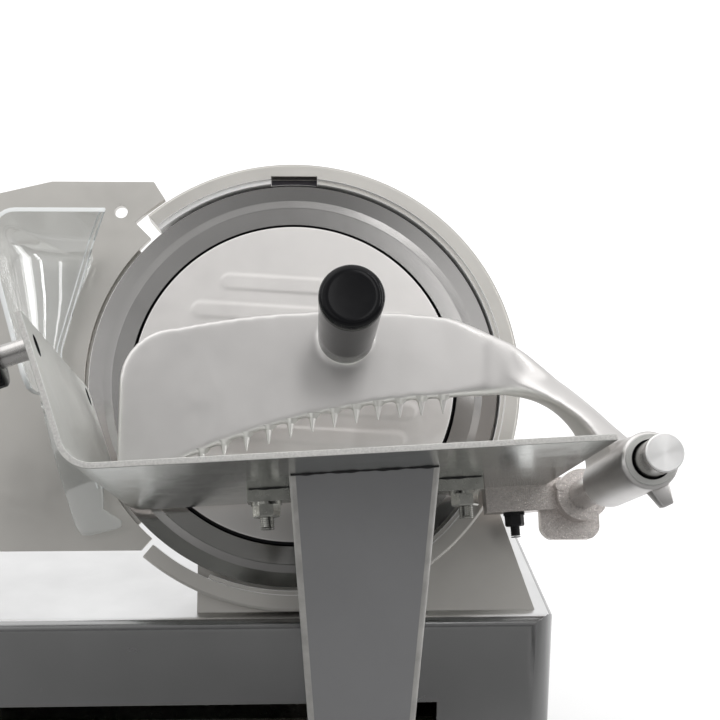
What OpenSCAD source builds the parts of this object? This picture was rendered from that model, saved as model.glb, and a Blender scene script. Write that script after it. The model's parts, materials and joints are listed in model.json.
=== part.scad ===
// Electric food slicer with a leaning blade, a sliding carriage and a swinging pusher.
// Blade axes: u runs to the rear along X, v runs up the blade's plane, w leaves the blade towards the carriage.

/* [Blade] */
// Cutting diameter of the blade
blade_d = 250; // [240:1:256]
// Lean of the blade's plane from upright, in degrees
tilt = 25; // [22:1:28]
// Thickness of the blade at its hub
blade_t = 3; // [2.5:0.1:3.5]
// Depth of the dish that takes the blade cover
dish_depth = 6.5; // [6:0.1:7.5]
// Distance from the blade's edge in to the cover's rim
cover_inset = 26.5; // [24:0.5:30]
// Gap between the cover's rim and the blade
cover_gap = 1.2; // [0.8:0.1:1.6]
// Height of the ribs pressed into the cover
rib_h = 0.8; // [0.4:0.1:1.2]
// Width of a cover rib
rib_w = 8; // [6:0.5:10]
// Distance between cover ribs
rib_pitch = 18.8; // [16:0.2:22]

/* [Ring guard] */
// Gap between the blade's edge and the ring
ring_gap = 2; // [1.5:0.1:3]
// Width of the ring's face
ring_w = 12.1; // [10:0.1:14]
// Height of the ring's face in front of the edge
ring_front = 3.5; // [2:0.1:4]
// Width of the ring's inner ledge
ledge_w = 2.7; // [2:0.1:4]
// Angle of the ring's upper end
ring_a1 = 131; // [125:1:132]
// Angle of the ring's lower end
ring_a0 = -130; // [-131:1:-120]
// Gap between the ring and the deck
ring_deck_gap = 5; // [4:0.5:8]

/* [Gauge plate] */
// Thickness of the gauge plate
plate_t = 4.5; // [3.5:0.5:6]
// Height of the plate's top edge above the blade's centre
plate_top = 128; // [124:1:134]
// Drop of the plate's bottom edge below the blade's centre
plate_low = 102.4; // [98:0.2:104]
// Travel of the plate, which is the thickest slice
gauge_travel = 12; // [8:0.5:12]
// Gap between the plate and the blade's edge
plate_gap = 2.5; // [2:0.1:3.5]
// Diameter of the hole in the plate
plate_hole_d = 8; // [6:0.5:10]

/* [Carriage] */
// Length of the tray along the stroke
tray_len = 249; // [240:1:254]
// Depth of the tray away from the blade
tray_depth = 193; // [188:1:198]
// Gap between the tray and the ring guard's face
tray_gap = 3.5; // [3:0.1:5]
// Thickness of the tray sheet
tray_t = 3; // [2.5:0.1:3.5]
// Rise of the tray towards the rear, in degrees
tray_slope = 2.9; // [2:0.1:4]
// Lean of the fence from the blade's upright, in degrees
fence_lean = 19; // [16:1:22]
// Height of the fence along its face
fence_len = 75; // [72:1:80]
// Inner radius of the bend between tray and fence
bend_r = 14; // [10:1:18]
// Width of the arm under the tray
arm_top_w = 78; // [72:1:84]
// Width of the arm at its foot
arm_foot_w = 48; // [42:1:54]
// Depth of the arm's channel
arm_depth = 15; // [12:1:18]
// Thickness of the arm's foot
arm_foot_t = 12; // [10:0.5:12]
// Length of the bar across the arm
bar_len = 128; // [124:1:134]
// Width of the bar across the arm
bar_w = 16; // [14:0.5:20]
// Thickness of the bar across the arm
bar_t = 7; // [6:0.5:9]
// Diameter of the rod that guides the carriage
guide_d = 20; // [16:1:22]
// Diameter of the carriage grip
grip_d = 32; // [28:1:36]
// Length of the carriage grip
grip_len = 95; // [85:1:105]
// Thickness of the clear hand guard
guard_t = 3; // [2.5:0.1:4]

/* [Pusher] */
// Diameter of the pusher rod
rod_d = 17; // [15:0.5:18]
// Length of the pusher rod
rod_len = 195; // [190:1:205]
// Outer diameter of the pusher hub
hub_d = 28; // [27:0.5:30]
// Length of the pusher hub
hub_len = 87; // [80:1:90]
// Wall of the bush inside the hub
bush_t = 2.5; // [2:0.1:2.8]
// Thickness of the pusher plate
pusher_t = 7; // [6:0.5:9]
// Length of a pusher tooth
tooth_len = 9; // [7:0.5:10]
// Distance between pusher teeth
tooth_pitch = 11.9; // [11:0.1:13]
// Number of pusher teeth
tooth_count = 13; // [9:1:13]
// Diameter of the pusher handle at its end
handle_d = 32.5; // [29:0.5:36]
// Length of the pusher handle
handle_len = 87; // [80:1:95]

/* [Base] */
// Length of the base along the stroke
base_len = 432; // [424:1:445]
// Distance from the blade's centre to the rear end of the base
base_rear = 157; // [152:1:164]
// Depth of the base
base_depth = 240; // [236:1:260]
// Height of the base above its feet
base_h = 80; // [78:1:90]
// Wall of the base casting
wall = 5; // [4:0.5:6]
// Radius of the base's corners seen from above
base_corner = 18; // [12:1:26]
// Radius of the base's top edges
base_edge = 7; // [4:1:10]
// Height of the rubber feet
foot_h = 14; // [10:1:20]
// Diameter of the rubber feet
foot_d = 36; // [30:1:40]
// Thickness of the base plate
floor_t = 3; // [2:0.5:4]

/* [Drive] */
// Diameter of the blade pulley
pulley_d = 100; // [92:1:104]
// Diameter of the motor pulley
pinion_d = 32; // [26:1:36]
// Thickness of the belt
belt_t = 2.5; // [2:0.1:3]
// Width of the belt
belt_w = 12; // [10:0.5:14]
// Diameter of the motor
motor_d = 88; // [80:1:92]
// Length of the motor
motor_len = 96; // [85:1:100]
// Diameter of the spindle
spindle_d = 25; // [22:1:28]
// Wall of the motor cover
cover_wall = 3; // [2:0.5:4]

/* [Controls] */
// Diameter of the index knob
knob_d = 56; // [48:1:60]
// Length of the index knob
knob_len = 24; // [20:1:30]
// Diameter of a switch button
button_d = 16; // [12:1:18]
// Travel of a switch button
button_travel = 3; // [2:0.5:4]

/* [Fits] */
// Radial clearance of a turning or sliding fit
run_gap = 0.05; // [0.03:0.01:0.08]
// Radial clearance of a fixed pin, bolt or press seat
seat_gap = 0.03; // [0.02:0.01:0.06]
// Clearance between faces that slide past each other
slide_gap = 0.3; // [0.2:0.1:0.5]

/* [Hidden] */
$fn = 64;
big = 900;
blade_r = blade_d / 2;
cover_r = blade_r - cover_inset;
ring_in = blade_r + ring_gap;
ring_out = ring_in + ring_w;
plate_arc_r = blade_r + plate_gap;
deck_drop = ring_out * cos(tilt) + ring_deck_gap;
deck_z = foot_h + base_h;
blade_z = deck_z + deck_drop;

// Base box in machine axes, which have X and Y from the blade's centre and Z from the table.
base_x1 = base_rear;
base_x0 = base_rear - base_len;
base_y0 = -(ring_out * sin(tilt) + 1.2);
base_y1 = base_y0 + base_depth;

// Height in machine axes of a point of the blade's plane, and its way back.
function y_of(v, w) = v * sin(tilt) - w * cos(tilt);
function z_of(v, w) = blade_z + v * cos(tilt) + w * sin(tilt);
function v_of(y, z) = y * sin(tilt) + (z - blade_z) * cos(tilt);
function w_of(y, z) = -y * cos(tilt) + (z - blade_z) * sin(tilt);
// Where a line along v at depth w crosses a level z.
function y_at(z, w) = (z - blade_z) * tan(tilt) - w / cos(tilt);
function arc(c, r, a0, a1, n) = [for (i = [0:n]) c + r * [cos(a0 + (a1 - a0) * i / n), sin(a0 + (a1 - a0) * i / n)]];
function dir(a) = [cos(a), sin(a)];

// Housing depths along w.
seat_w = -12;
housing_back = -44;
web_t = 6;
web_w = housing_back + web_t;
blade_back = -(dish_depth + blade_t);
rim_r = ring_out - 2;
rim_t = 15;
pocket_r = 62;
pocket_wall = 6;
foot_u0 = -58;
foot_top_v = -40;
foot_u1_top = 112.6;
foot_splay = 0.33;
housing_a0 = -113;
housing_a1 = 128;
ring_screw_angles = [118, 62, -30, -60];
ring_screw_r = ring_in + 5;
m5_r = 2.5;
m6_r = 3;
m8_r = 4;
m5_head_r = 4.5;
m5_head_h = 4;
housing_bolt_x = [-35, 45, 120];
housing_bolt_y = y_at(deck_z, -28);
housing_bolt_in = 12;

// Drive.
motor_u = 75;
motor_v = 10;
motor_c = [motor_u, motor_v];
motor_dist = norm(motor_c);
motor_a = atan2(motor_v, motor_u);
pulley_r = pulley_d / 2;
pinion_r = pinion_d / 2;
belt_lift = slide_gap;
belt_a = acos((pulley_r - pinion_r) / motor_dist);
belt_mid = -23;
motor_flange_t = 6;
motor_flange_r = 48;
motor_screw_r = 40;
motor_screw_angles = [75, 180, 285];
motor_shaft_r = 6;
motor_shaft_front = -13;
bearing_w = 9;
bearing_t = 11;
spindle_r = spindle_d / 2;
spindle_front = -11;
spindle_end = -58;
tie_r = 5;
nut_t = 10;
collar_t = 4;
cap_r = 18;
cap_len = 24;
cap_w = spindle_end - slide_gap - 1;
blade_screw_r = 33;
motor_cover_u0 = 22;
motor_cover_u1 = max(ring_screw_r * cos(ring_screw_angles[2]) + m5_head_r + 9.2, motor_u + motor_flange_r + 5);
motor_cover_top = 66;
motor_cover_low = -160;
motor_cover_back = housing_back - motor_flange_t - motor_len - 18;

// Gauge and index drive, set out from the knob's axis on the front of the base.
knob_y = -8;
cam_r = 26;
cam_t = 8;
cam_groove = 5;
cam_r0 = 8;
cam_turn = 300;
knob_z = deck_z - wall - cam_r - 1.5;
knob_v = v_of(knob_y, knob_z);
knob_w = w_of(knob_y, knob_z);
gauge_u = -218;
slide_r = 8;
slide_v = knob_v + 7;
slide_mid_w = knob_w - cam_r0;
slide_len = 24;
lug_t = 8;
lug_front_w = slide_mid_w + slide_len / 2 + 10;
lug_rear_w = slide_mid_w - slide_len / 2 - gauge_travel - 6 - lug_t;
leg_w = 24;
leg_t = 16;
block_r = 13;
beam_h = 20;
beam_v = -92;
flange_t = 8;
plate_face = -0.5;
plate_back = plate_face - plate_t;
plate_u0 = -262;
pin_r = 3;
cam_x1 = gauge_u - block_r - 11;
cam_x0 = cam_x1 - cam_t;
dial_t = 2;
dial_r = knob_d / 2 + 5;
shaft_r = 5;
knob_x1 = base_x0 - dial_t - 1.5;
knob_x0 = knob_x1 - knob_len;

// Tray and fence share a corner where their inner faces meet.
tray_u = -99.5;
tray_v = -76.7;
tray_w0 = ring_front + tray_gap;
tray_w1 = tray_w0 + tray_depth;
bend_a = 90 - (fence_lean - tray_slope);
bend_in = bend_r * tan(bend_a / 2);
fence_hole_r = 5.5;
near_hole = [62, 180];
far_hole = [67, 20];
arm_x = 36;
arm_front_w = 139;
tray_low_v = tray_v - tray_t;
arm_y0 = y_of(tray_low_v + 6, arm_front_w);
arm_y1 = arm_y0 + arm_depth;
arm_sheet = 3;
arm_z0 = foot_h + floor_t + 3;
arm_z1 = z_of(tray_low_v, arm_front_w) + 20;
rail_w = 12;
bar_w1 = 85;
bar_x0 = 74.6;
stud_inset = 10;
washer_t = 1.6;
nut_h = 6.5;
nut_af = 13;
stud_out = 5;
stroke_front = 225;
stroke_rear = 20;

// Carriage guide under the deck.
guide_r = guide_d / 2;
guide_y = base_y1 - 95;
guide_z = foot_h + floor_t + 29;
slider_len = 80;
slider_half = 25;
slider_top = guide_z + guide_r + 6;
slide_bush_t = 4;
slide_bush_len = 24;
boss_r = guide_r + 6;
boss_len = 12;
screw_off = 5.5;

// Pusher rod, bracket and pusher.
tray_end_u = tray_u + tray_len * cos(tray_slope);
tray_end_v = tray_v + tray_len * sin(tray_slope);
rod_u = tray_end_u + 19.319;
rod_v = tray_end_v - 9.898;
rod_r = rod_d / 2;
rod_w0 = tray_w0 + 1;
rod_w1 = rod_w0 + rod_len;
stop_t = 5;
stop_r = rod_r + 0.4;
boss_w1 = rod_w0 + 24;
bracket_r = 15;
tab_t = 8;
tab_u0 = tray_end_u - 3.2;
tab_u1 = rod_u + 12.5;
tab_low = rod_v - 25;
tab_high = rod_v + 12;
bracket_bar_h = 15;
bracket_bar_x0 = tray_len - 37;
bracket_bolt_x = tray_len - 20;
hub_r = hub_d / 2;
hub_stop_gap = 20;
hub_w1 = rod_w1 - hub_stop_gap;
hub_w0 = hub_w1 - hub_len;
bush_r = rod_r + run_gap + bush_t;
bush_flange_t = 1.6;
pusher_step = 8;
pusher_face = hub_w0 - pusher_step;
pusher_back = pusher_face - pusher_t;
pusher_u0 = -94;
crown_u = 28;
crown_v = 22;
crown_r = 450;
corner_r = 30;
low_corner = 5;
belly_u = 100;
belly_v = -25.8;
belly_r = 392;
tooth_u1 = 82;
tooth_r = 2.5;
handle_u = 29;
handle_v = 7;
handle_collar = 3;
handle_r = handle_d / 2;
handle_base_r = handle_r - 2;

// The part's origin is under the middle of its box, on the table.
x_low = knob_x0;
x_high = max(rod_u + max(hub_r, bracket_r), tab_u1, base_x1 + 16);
y_low = y_of(rod_v - stop_r, rod_w1 + stop_t);
y_high = base_y1;
blade_x = -(x_low + x_high) / 2;
blade_y = -(y_low + y_high) / 2;

// Places

module at_machine() {
    translate([blade_x, blade_y, 0]) children();
}

module at_blade() {
    translate([blade_x, blade_y, blade_z]) rotate([90 - tilt, 0, 0]) children();
}

module at_tray() {
    at_blade() translate([tray_u, tray_v, 0]) rotate([0, 0, tray_slope]) children();
}

module at_fence() {
    at_blade() translate([tray_u, tray_v, 0]) rotate([0, 0, fence_lean]) children();
}

module at_motor() {
    at_blade() translate([motor_u, motor_v, 0]) children();
}

module at_rod() {
    at_blade() translate([rod_u, rod_v, 0]) children();
}

// Local x, y and z become Y, Z and X.
module facing_x(x, y, z) {
    at_machine() translate([x, y, z]) rotate([90, 0, 90]) children();
}

// Shapes that repeat

module disc(r, w0, w1) {
    translate([0, 0, w0]) cylinder(r = r, h = w1 - w0);
}

module tube(r, hole, w0, w1) {
    difference() {
        disc(r, w0, w1);
        disc(hole, w0 - 1, w1 + 1);
    }
}

module box(low, high) {
    translate(low) cube(high - low);
}

module wedge(a0, a1, r) {
    polygon(concat([[0, 0]], arc([0, 0], r, a0, a1, 12)));
}

module rounded_rect(low, high, r) {
    size = high - low;
    translate(low + [r, 0]) square([size[0] - 2 * r, size[1]]);
    translate(low + [0, r]) square([size[0], size[1] - 2 * r]);
    for (x = [low[0] + r, high[0] - r], y = [low[1] + r, high[1] - r])
        translate([x, y]) circle(r);
}

module round_top(w, h, r) {
    square([w, h - r]);
    translate([r, 0]) square([w - 2 * r, h]);
    for (x = [r, w - r]) translate([x, h - r]) circle(r);
}

// Cylinder head and shank, head upwards from z = 0.
module cap_screw(r, len, head_r, head_h) {
    cylinder(r = head_r, h = head_h);
    translate([0, 0, -len]) cylinder(r = r, h = len);
}

// Closed line around two pulleys of radius r1 and r2.
function belt_loop(r1, r2) = concat(
    arc([0, 0], r1, motor_a + belt_a, motor_a - belt_a + 360, 40),
    arc(motor_c, r2, motor_a - belt_a, motor_a + belt_a, 16));

module below_deck() {
    translate([-big / 2, -big / 2, deck_z - big]) cube(big);
}

// Base

module base_outer() {
    size = [base_len, base_depth, base_h];
    translate([base_x0, base_y0, foot_h]) intersection() {
        linear_extrude(size[2]) rounded_rect([0, 0], [size[0], size[1]], base_corner);
        translate([0, size[1], 0]) rotate([90, 0, 0]) linear_extrude(size[1]) round_top(size[0], size[2], base_edge);
        rotate([90, 0, 90]) linear_extrude(size[0]) round_top(size[1], size[2], base_edge);
    }
}

module base_inside(low, high, gap) {
    r = base_corner - wall;
    translate([0, 0, low]) linear_extrude(high - low)
        rounded_rect([base_x0 + wall + gap, base_y0 + wall + gap], [base_x1 - wall - gap, base_y1 - wall - gap], r);
}

arm_slot_x0 = arm_x - arm_foot_w / 2 - stroke_front - 6;
arm_slot_x1 = arm_x + arm_foot_w / 2 + stroke_rear + 6;
arm_slot_top = arm_z0 + arm_foot_t + 8;
gland_y = base_y1 - 50;
gland_z = foot_h + 30;
gland_r = 8;
switch_y = base_y1 - 48;
switch_z = foot_h + base_h / 2 + 2;
button_off = 14;
lamp_r = 4;
button_r = button_d / 2;

module base_casting() color("gainsboro") difference() {
    at_machine() union() {
        difference() {
            base_outer();
            base_inside(foot_h - 1, deck_z - wall, 0);
        }
        for (x = [base_x0 + wall - 0.5, base_x1 - wall + 0.5 - boss_len])
            translate([x, guide_y, guide_z]) rotate([0, 90, 0]) cylinder(r = boss_r, h = boss_len);
    }
    at_machine() {
        box([arm_slot_x0, base_y0 - 1, foot_h - 1], [arm_slot_x1, base_y0 + wall + 1, arm_slot_top]);
        translate([base_x0 + 2, guide_y, guide_z]) rotate([0, 90, 0])
            cylinder(r = guide_r + seat_gap, h = base_len - 4);
        box([gauge_u - leg_w / 2 - 3, y_at(deck_z - wall, slide_mid_w + leg_t / 2) - 3, deck_z - wall - 1],
            [gauge_u + leg_w / 2 + 3, y_at(deck_z, slide_mid_w - leg_t / 2 - gauge_travel) + 3, deck_z + 1]);
        for (x = housing_bolt_x)
            translate([x, housing_bolt_y, deck_z - wall - 1]) cylinder(r = m8_r + run_gap, h = wall + 2);
    }
    facing_x(base_x0, knob_y, knob_z) disc(shaft_r + run_gap, -1, wall + 1);
    for (side = [-1, 1])
        facing_x(base_x0, switch_y + side * button_off, switch_z) disc(button_r + 1, -1, wall + 1);
    facing_x(base_x0, switch_y, switch_z) disc(lamp_r - 1, -1, wall + 1);
    facing_x(base_x1, gland_y, gland_z) disc(gland_r + seat_gap, -wall - 1, 1);
}

module base_plate() color("dimgray") at_machine() base_inside(foot_h, foot_h + floor_t, slide_gap);

module rubber_feet() color("#202020") at_machine() {
    inset = foot_d / 2 + wall + 2;
    for (x = [base_x0 + inset, base_x1 - inset], y = [base_y0 + inset, base_y1 - inset])
        translate([x, y, 0]) rotate_extrude()
            polygon([[0, 0], [foot_d / 2 - 3, 0], [foot_d / 2 - 2, 1], [foot_d / 2, foot_h], [0, foot_h]]);
}

module support_rail() color("silver") at_machine()
    box([arm_slot_x0, base_y0 + wall + 4, foot_h + floor_t],
        [arm_slot_x1, base_y0 + wall + 4 + rail_w, arm_z0 - slide_gap]);

module guide_rod() color("lightgray") at_machine()
    translate([base_x0 + 2.5, guide_y, guide_z]) rotate([0, 90, 0]) cylinder(r = guide_r, h = base_len - 5);

module cable_gland() color("#303030") facing_x(base_x1, gland_y, gland_z) difference() {
    union() {
        disc(gland_r, -wall - 4, 0);
        cylinder(r = 13, h = 6, $fn = 6);
        translate([0, 0, 6]) cylinder(r1 = 10, r2 = 7, h = 10);
    }
    disc(4, -wall - 5, 20);
}

// Blade housing, ring and what stands behind them

module housing_area() {
    circle(pocket_r + pocket_wall);
    translate([-pocket_r - 8, -40]) square([pocket_r, 70]);
    intersection() {
        circle(rim_r);
        wedge(housing_a0, housing_a1, rim_r * 3);
    }
    polygon([[foot_u0, foot_top_v], [foot_u0, -190],
             [foot_u1_top + (190 + foot_top_v) * foot_splay, -190], [foot_u1_top, foot_top_v]]);
}

module housing_pockets() {
    circle(pocket_r);
    translate(motor_c) circle(pinion_r + 10);
    polygon([[0, pocket_r], motor_c + [0, pinion_r + 10], motor_c - [0, pinion_r + 10], [0, -pocket_r]]);
    difference() {
        intersection() {
            circle(rim_r - rim_t);
            wedge(housing_a0 + 8, housing_a1 - 8, rim_r);
        }
        circle(pocket_r + pocket_wall);
    }
}

module blade_housing() color("silver") difference() {
    at_blade() difference() {
        translate([0, 0, housing_back]) linear_extrude(seat_w - housing_back) housing_area();
        translate([0, 0, web_w]) linear_extrude(seat_w - web_w + 1) housing_pockets();
        disc(spindle_r + seat_gap, housing_back - 1, 0);
        translate(motor_c) disc(motor_shaft_r + 6, housing_back - 1, 0);
        for (a = motor_screw_angles) translate(motor_c + motor_screw_r * dir(a))
            disc(m5_r + seat_gap, housing_back - 1, 0);
        for (a = ring_screw_angles) translate(ring_screw_r * dir(a)) disc(m5_r + seat_gap, housing_back - 1, 0);
    }
    at_machine() below_deck();
    at_machine() for (x = housing_bolt_x) translate([x, housing_bolt_y, 0])
        disc(m8_r + seat_gap, deck_z - 1, deck_z + housing_bolt_in + 1);
}

module housing_bolts() color("silver") at_machine()
    for (x = housing_bolt_x) translate([x, housing_bolt_y, deck_z - wall]) {
        translate([0, 0, -nut_h]) cylinder(r = nut_af / 2 / cos(30), h = nut_h, $fn = 6);
        translate([0, 0, -0.5]) cylinder(r = m8_r, h = wall + housing_bolt_in + 0.5);
    }

module ring_guard() color("gainsboro") at_blade() difference() {
    rotate_extrude($fn = 128) polygon([
        [ring_in, seat_w], [rim_r, seat_w], [ring_out, seat_w + 2], [ring_out, ring_front - 1.5],
        [ring_out - 1.5, ring_front], [ring_in + ledge_w, ring_front], [ring_in + ledge_w, ring_front - 2],
        [ring_in, ring_front - 2]]);
    translate([0, 0, seat_w - 1]) linear_extrude(40) wedge(ring_a1, 360 + ring_a0, ring_out * 2);
    translate([0, 0, seat_w - 1]) linear_extrude(40) intersection() {
        circle(ring_in + ledge_w);
        wedge(ring_a0 - 5, housing_a0, ring_out * 2);
    }
    box([-14.5, ring_in - 1, -3], [14.5, ring_in + ledge_w + 0.8, 10]);
    for (a = ring_screw_angles) translate(ring_screw_r * dir(a)) disc(m5_r + seat_gap, seat_w - 1, -3);
}

module ring_screws() color("silver") at_blade()
    for (a = ring_screw_angles) translate(concat(ring_screw_r * dir(a), [housing_back])) mirror([0, 0, 1])
        cap_screw(m5_r, seat_w - housing_back + 8, m5_head_r, m5_head_h);

module spindle() color("lightgray") at_blade() difference() {
    union() {
        disc(spindle_r, spindle_end, spindle_front);
        disc(spindle_r + 5.5, web_w, web_w + collar_t);
    }
    disc(tie_r + run_gap, spindle_end - 1, 0);
}

module spindle_nut() color("silver") at_blade() difference() {
    translate([0, 0, housing_back - nut_t]) cylinder(r = spindle_r + 7, h = nut_t, $fn = 6);
    disc(spindle_r + seat_gap, housing_back - nut_t - 1, housing_back + 1);
}

module cover_rib(v) {
    half = sqrt(pow(cover_r - 20.5, 2) - v * v) - rib_w / 2;
    translate([-half, v - rib_w / 2]) square([2 * half, rib_w]);
    for (u = [-half, half]) translate([u, v]) circle(rib_w / 2);
}

module blade_cover() color("whitesmoke") at_blade() difference() {
    union() {
        rotate_extrude($fn = 128) polygon([
            [0, -2], [cover_r - 3, -2], [cover_r - 3, 1 - dish_depth], [cover_r, 1 - dish_depth],
            [cover_r, -0.6], [cover_r - 0.6, 0], [0, 0]]);
        for (k = [-3:3]) linear_extrude(rib_h) cover_rib(4 + k * rib_pitch);
        disc(tie_r + 4, spindle_front, -1);
    }
    disc(tie_r + run_gap, spindle_front - 1, -3);
}

module slice_deflector() color("gainsboro") at_blade() {
    bend = 22;
    sheet = 2;
    face = -pocket_r - 8;
    translate([0, 60, 0]) rotate([90, 0, 0]) linear_extrude(135) {
        translate([face - bend, seat_w - bend]) intersection() {
            difference() {
                circle(bend);
                circle(bend - sheet);
            }
            square(bend);
        }
        translate([face - sheet, housing_back - 16]) square([sheet, seat_w - bend - housing_back + 16]);
    }
}

// Blade and drive

module blade() color("lightgray") at_blade() difference() {
    rim = cover_r + cover_gap;
    rotate_extrude($fn = 160) polygon([
        [spindle_r + 8, blade_back], [rim + 0.3, blade_back], [blade_r - 12, blade_back + 3.3], [blade_r - 0.4, -0.5],
        [blade_r, 0], [blade_r - 9.2, -2.6], [blade_r - 13.3, -3.4], [rim, -4.6], [rim, -dish_depth],
        [spindle_r + 8, -dish_depth]]);
    for (a = [90:120:330]) translate(blade_screw_r * dir(a)) {
        disc(m6_r + seat_gap, blade_back - 1, 0);
        disc(5.5 + seat_gap, -dish_depth - 2, 0);
    }
}

pulley_back = -32;
bore_r = spindle_r + bearing_t;

module blade_pulley() color("silver") at_blade() difference() {
    rotate_extrude() polygon([
        [bore_r + seat_gap, pulley_back], [pulley_r, pulley_back], [pulley_r, -14], [pulley_r - 6, -14],
        [pulley_r - 6, blade_back], [bore_r + seat_gap, blade_back]]);
    for (a = [90:120:330]) translate(blade_screw_r * dir(a)) disc(m6_r + seat_gap, -21, 0);
}

module blade_screws() color("silver") at_blade()
    for (a = [90:120:330]) translate(concat(blade_screw_r * dir(a), [-dish_depth - 2]))
        cap_screw(m6_r, 12, 5.5, 1.8);

module blade_bearings() color("lightgray") at_blade()
    for (w = [pulley_back + 1, pulley_back + 2 + bearing_w])
        tube(bore_r, spindle_r + run_gap, w, w + bearing_w);

module drive_belt() color("#202020") at_blade()
    translate([0, 0, belt_mid - belt_w / 2]) linear_extrude(belt_w) difference() {
        polygon(belt_loop(pulley_r + belt_lift + belt_t, pinion_r + belt_lift + belt_t));
        polygon(belt_loop(pulley_r + belt_lift, pinion_r + belt_lift));
    }

module motor_body() color("dimgray") at_motor() difference() {
    union() {
        disc(motor_flange_r, housing_back - motor_flange_t, housing_back);
        disc(motor_d / 2, housing_back - motor_flange_t - motor_len, housing_back - motor_flange_t);
        disc(motor_d / 2 - 8, housing_back - motor_flange_t - motor_len - 8,
             housing_back - motor_flange_t - motor_len);
    }
    disc(motor_shaft_r + run_gap, housing_back - motor_flange_t - motor_len, 0);
    for (a = motor_screw_angles) translate(motor_screw_r * dir(a)) disc(m5_r + seat_gap, housing_back - 5.5, 0);
}

module motor_screws() color("silver") at_motor()
    for (a = motor_screw_angles) translate(concat(motor_screw_r * dir(a), [web_w]))
        cap_screw(m5_r, web_t + 5, m5_head_r, m5_head_h - 0.5);

module motor_shaft() color("lightgray") at_motor()
    disc(motor_shaft_r, housing_back - motor_flange_t - motor_len + 2, motor_shaft_front);

module motor_pulley() color("silver") at_motor()
    tube(pinion_r, motor_shaft_r + seat_gap, pulley_back + 1, -15);

module motor_cover_area(inset) {
    rounded_rect([motor_cover_u0 + inset, motor_cover_low + inset], [motor_cover_u1 - inset, motor_cover_top - inset],
                 20 - inset);
}

module motor_cover() color("gainsboro") difference() {
    at_blade() difference() {
        translate([0, 0, motor_cover_back]) linear_extrude(housing_back - motor_cover_back) motor_cover_area(0);
        translate([0, 0, motor_cover_back + cover_wall]) linear_extrude(housing_back - motor_cover_back)
            motor_cover_area(cover_wall);
        for (k = [0:5]) box([motor_u - 30 + k * 11, -25, motor_cover_back - 1],
                            [motor_u - 25 + k * 11, 45, motor_cover_back + cover_wall + 1]);
    }
    at_machine() below_deck();
}

module tie_rod() color("lightgray") at_blade() disc(tie_r, cap_w - cap_len + 6, -3.5);

module cover_knob() color("#202020") at_blade() difference() {
    disc(cap_r, cap_w - cap_len, cap_w);
    disc(tie_r + seat_gap, cap_w - cap_len + 5.5, cap_w + 1);
    for (a = [0:45:315]) rotate(a) translate([cap_r + 1.5, 0, 0]) disc(3, cap_w - cap_len - 1, cap_w - 4);
}

// Gauge plate and its index drive

module gauge_area() {
    difference() {
        polygon([[plate_u0, -plate_low], [0, -plate_low], [0, 0], [-81.1, plate_top - 11.5], [-88.3, plate_top],
                 [-152, plate_top], [plate_u0, plate_top - 27]]);
        circle(plate_arc_r, $fn = 160);
        intersection() {
            circle(ring_out + 2.6, $fn = 160);
            wedge(60, ring_a1 + 3.5, big);
        }
        wedge(360 + ring_a0 - 1.6, 300, big);
        translate([-108.3, 108.1]) circle(plate_hole_d / 2);
    }
}

gauge_screw_at = [[gauge_u - 25, -50], [gauge_u + 25, -50], [gauge_u, -50]];

module gauge_plate() color("lightgray") at_blade() difference() {
    translate([0, 0, plate_back]) linear_extrude(plate_t) gauge_area();
    for (p = gauge_screw_at) translate(p) {
        disc(m6_r + seat_gap, plate_back - 1, 0);
        disc(5 + seat_gap, plate_face - 2.5, 0);
    }
}

module gauge_screws() color("silver") at_blade()
    for (p = gauge_screw_at) translate(concat(p, [plate_face - 2.5])) cap_screw(m6_r, plate_t + 3, 5, 2.3);

module gauge_bracket() color("silver") at_blade() difference() {
    union() {
        box([gauge_u - block_r, slide_v - block_r - 2, slide_mid_w - slide_len / 2],
            [gauge_u + block_r, slide_v + block_r, slide_mid_w + slide_len / 2]);
        box([gauge_u - leg_w / 2, slide_v, slide_mid_w - leg_t / 2],
            [gauge_u + leg_w / 2, beam_v + beam_h, slide_mid_w + leg_t / 2]);
        box([gauge_u - leg_w / 2, beam_v, slide_mid_w], [gauge_u + leg_w / 2, beam_v + beam_h, plate_back - 1]);
        box([gauge_u - 35, beam_v - 4, plate_back - flange_t], [gauge_u + 35, -40, plate_back]);
    }
    translate([gauge_u, slide_v, 0]) disc(slide_r + run_gap, slide_mid_w - 40, slide_mid_w + 40);
    for (p = gauge_screw_at) translate(p) disc(m6_r + seat_gap, plate_back - 6, plate_back + 1);
    translate([gauge_u - block_r, knob_v, slide_mid_w]) rotate([0, 90, 0]) disc(pin_r + seat_gap, -1, 4.2);
}

module gauge_pin() color("silver") at_blade() translate([cam_x1 - cam_groove + 1, knob_v, slide_mid_w])
    rotate([0, 90, 0]) cylinder(r = pin_r, h = gauge_u - block_r + 4 - cam_x1 + cam_groove - 1);

module gauge_shaft() color("lightgray") at_blade() translate([gauge_u, slide_v, 0])
    disc(slide_r, lug_rear_w, lug_front_w + lug_t);

module slide_lugs() color("silver") difference() {
    at_blade() for (w = [lug_front_w, lug_rear_w]) difference() {
        box([gauge_u - 13, slide_v - 12, w], [gauge_u + 13, slide_v + 70, w + lug_t]);
        translate([gauge_u, slide_v, 0]) disc(slide_r + seat_gap, w - 1, w + lug_t + 1);
    }
    at_machine() translate([-big / 2, -big / 2, deck_z - wall]) cube(big);
}

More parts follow.
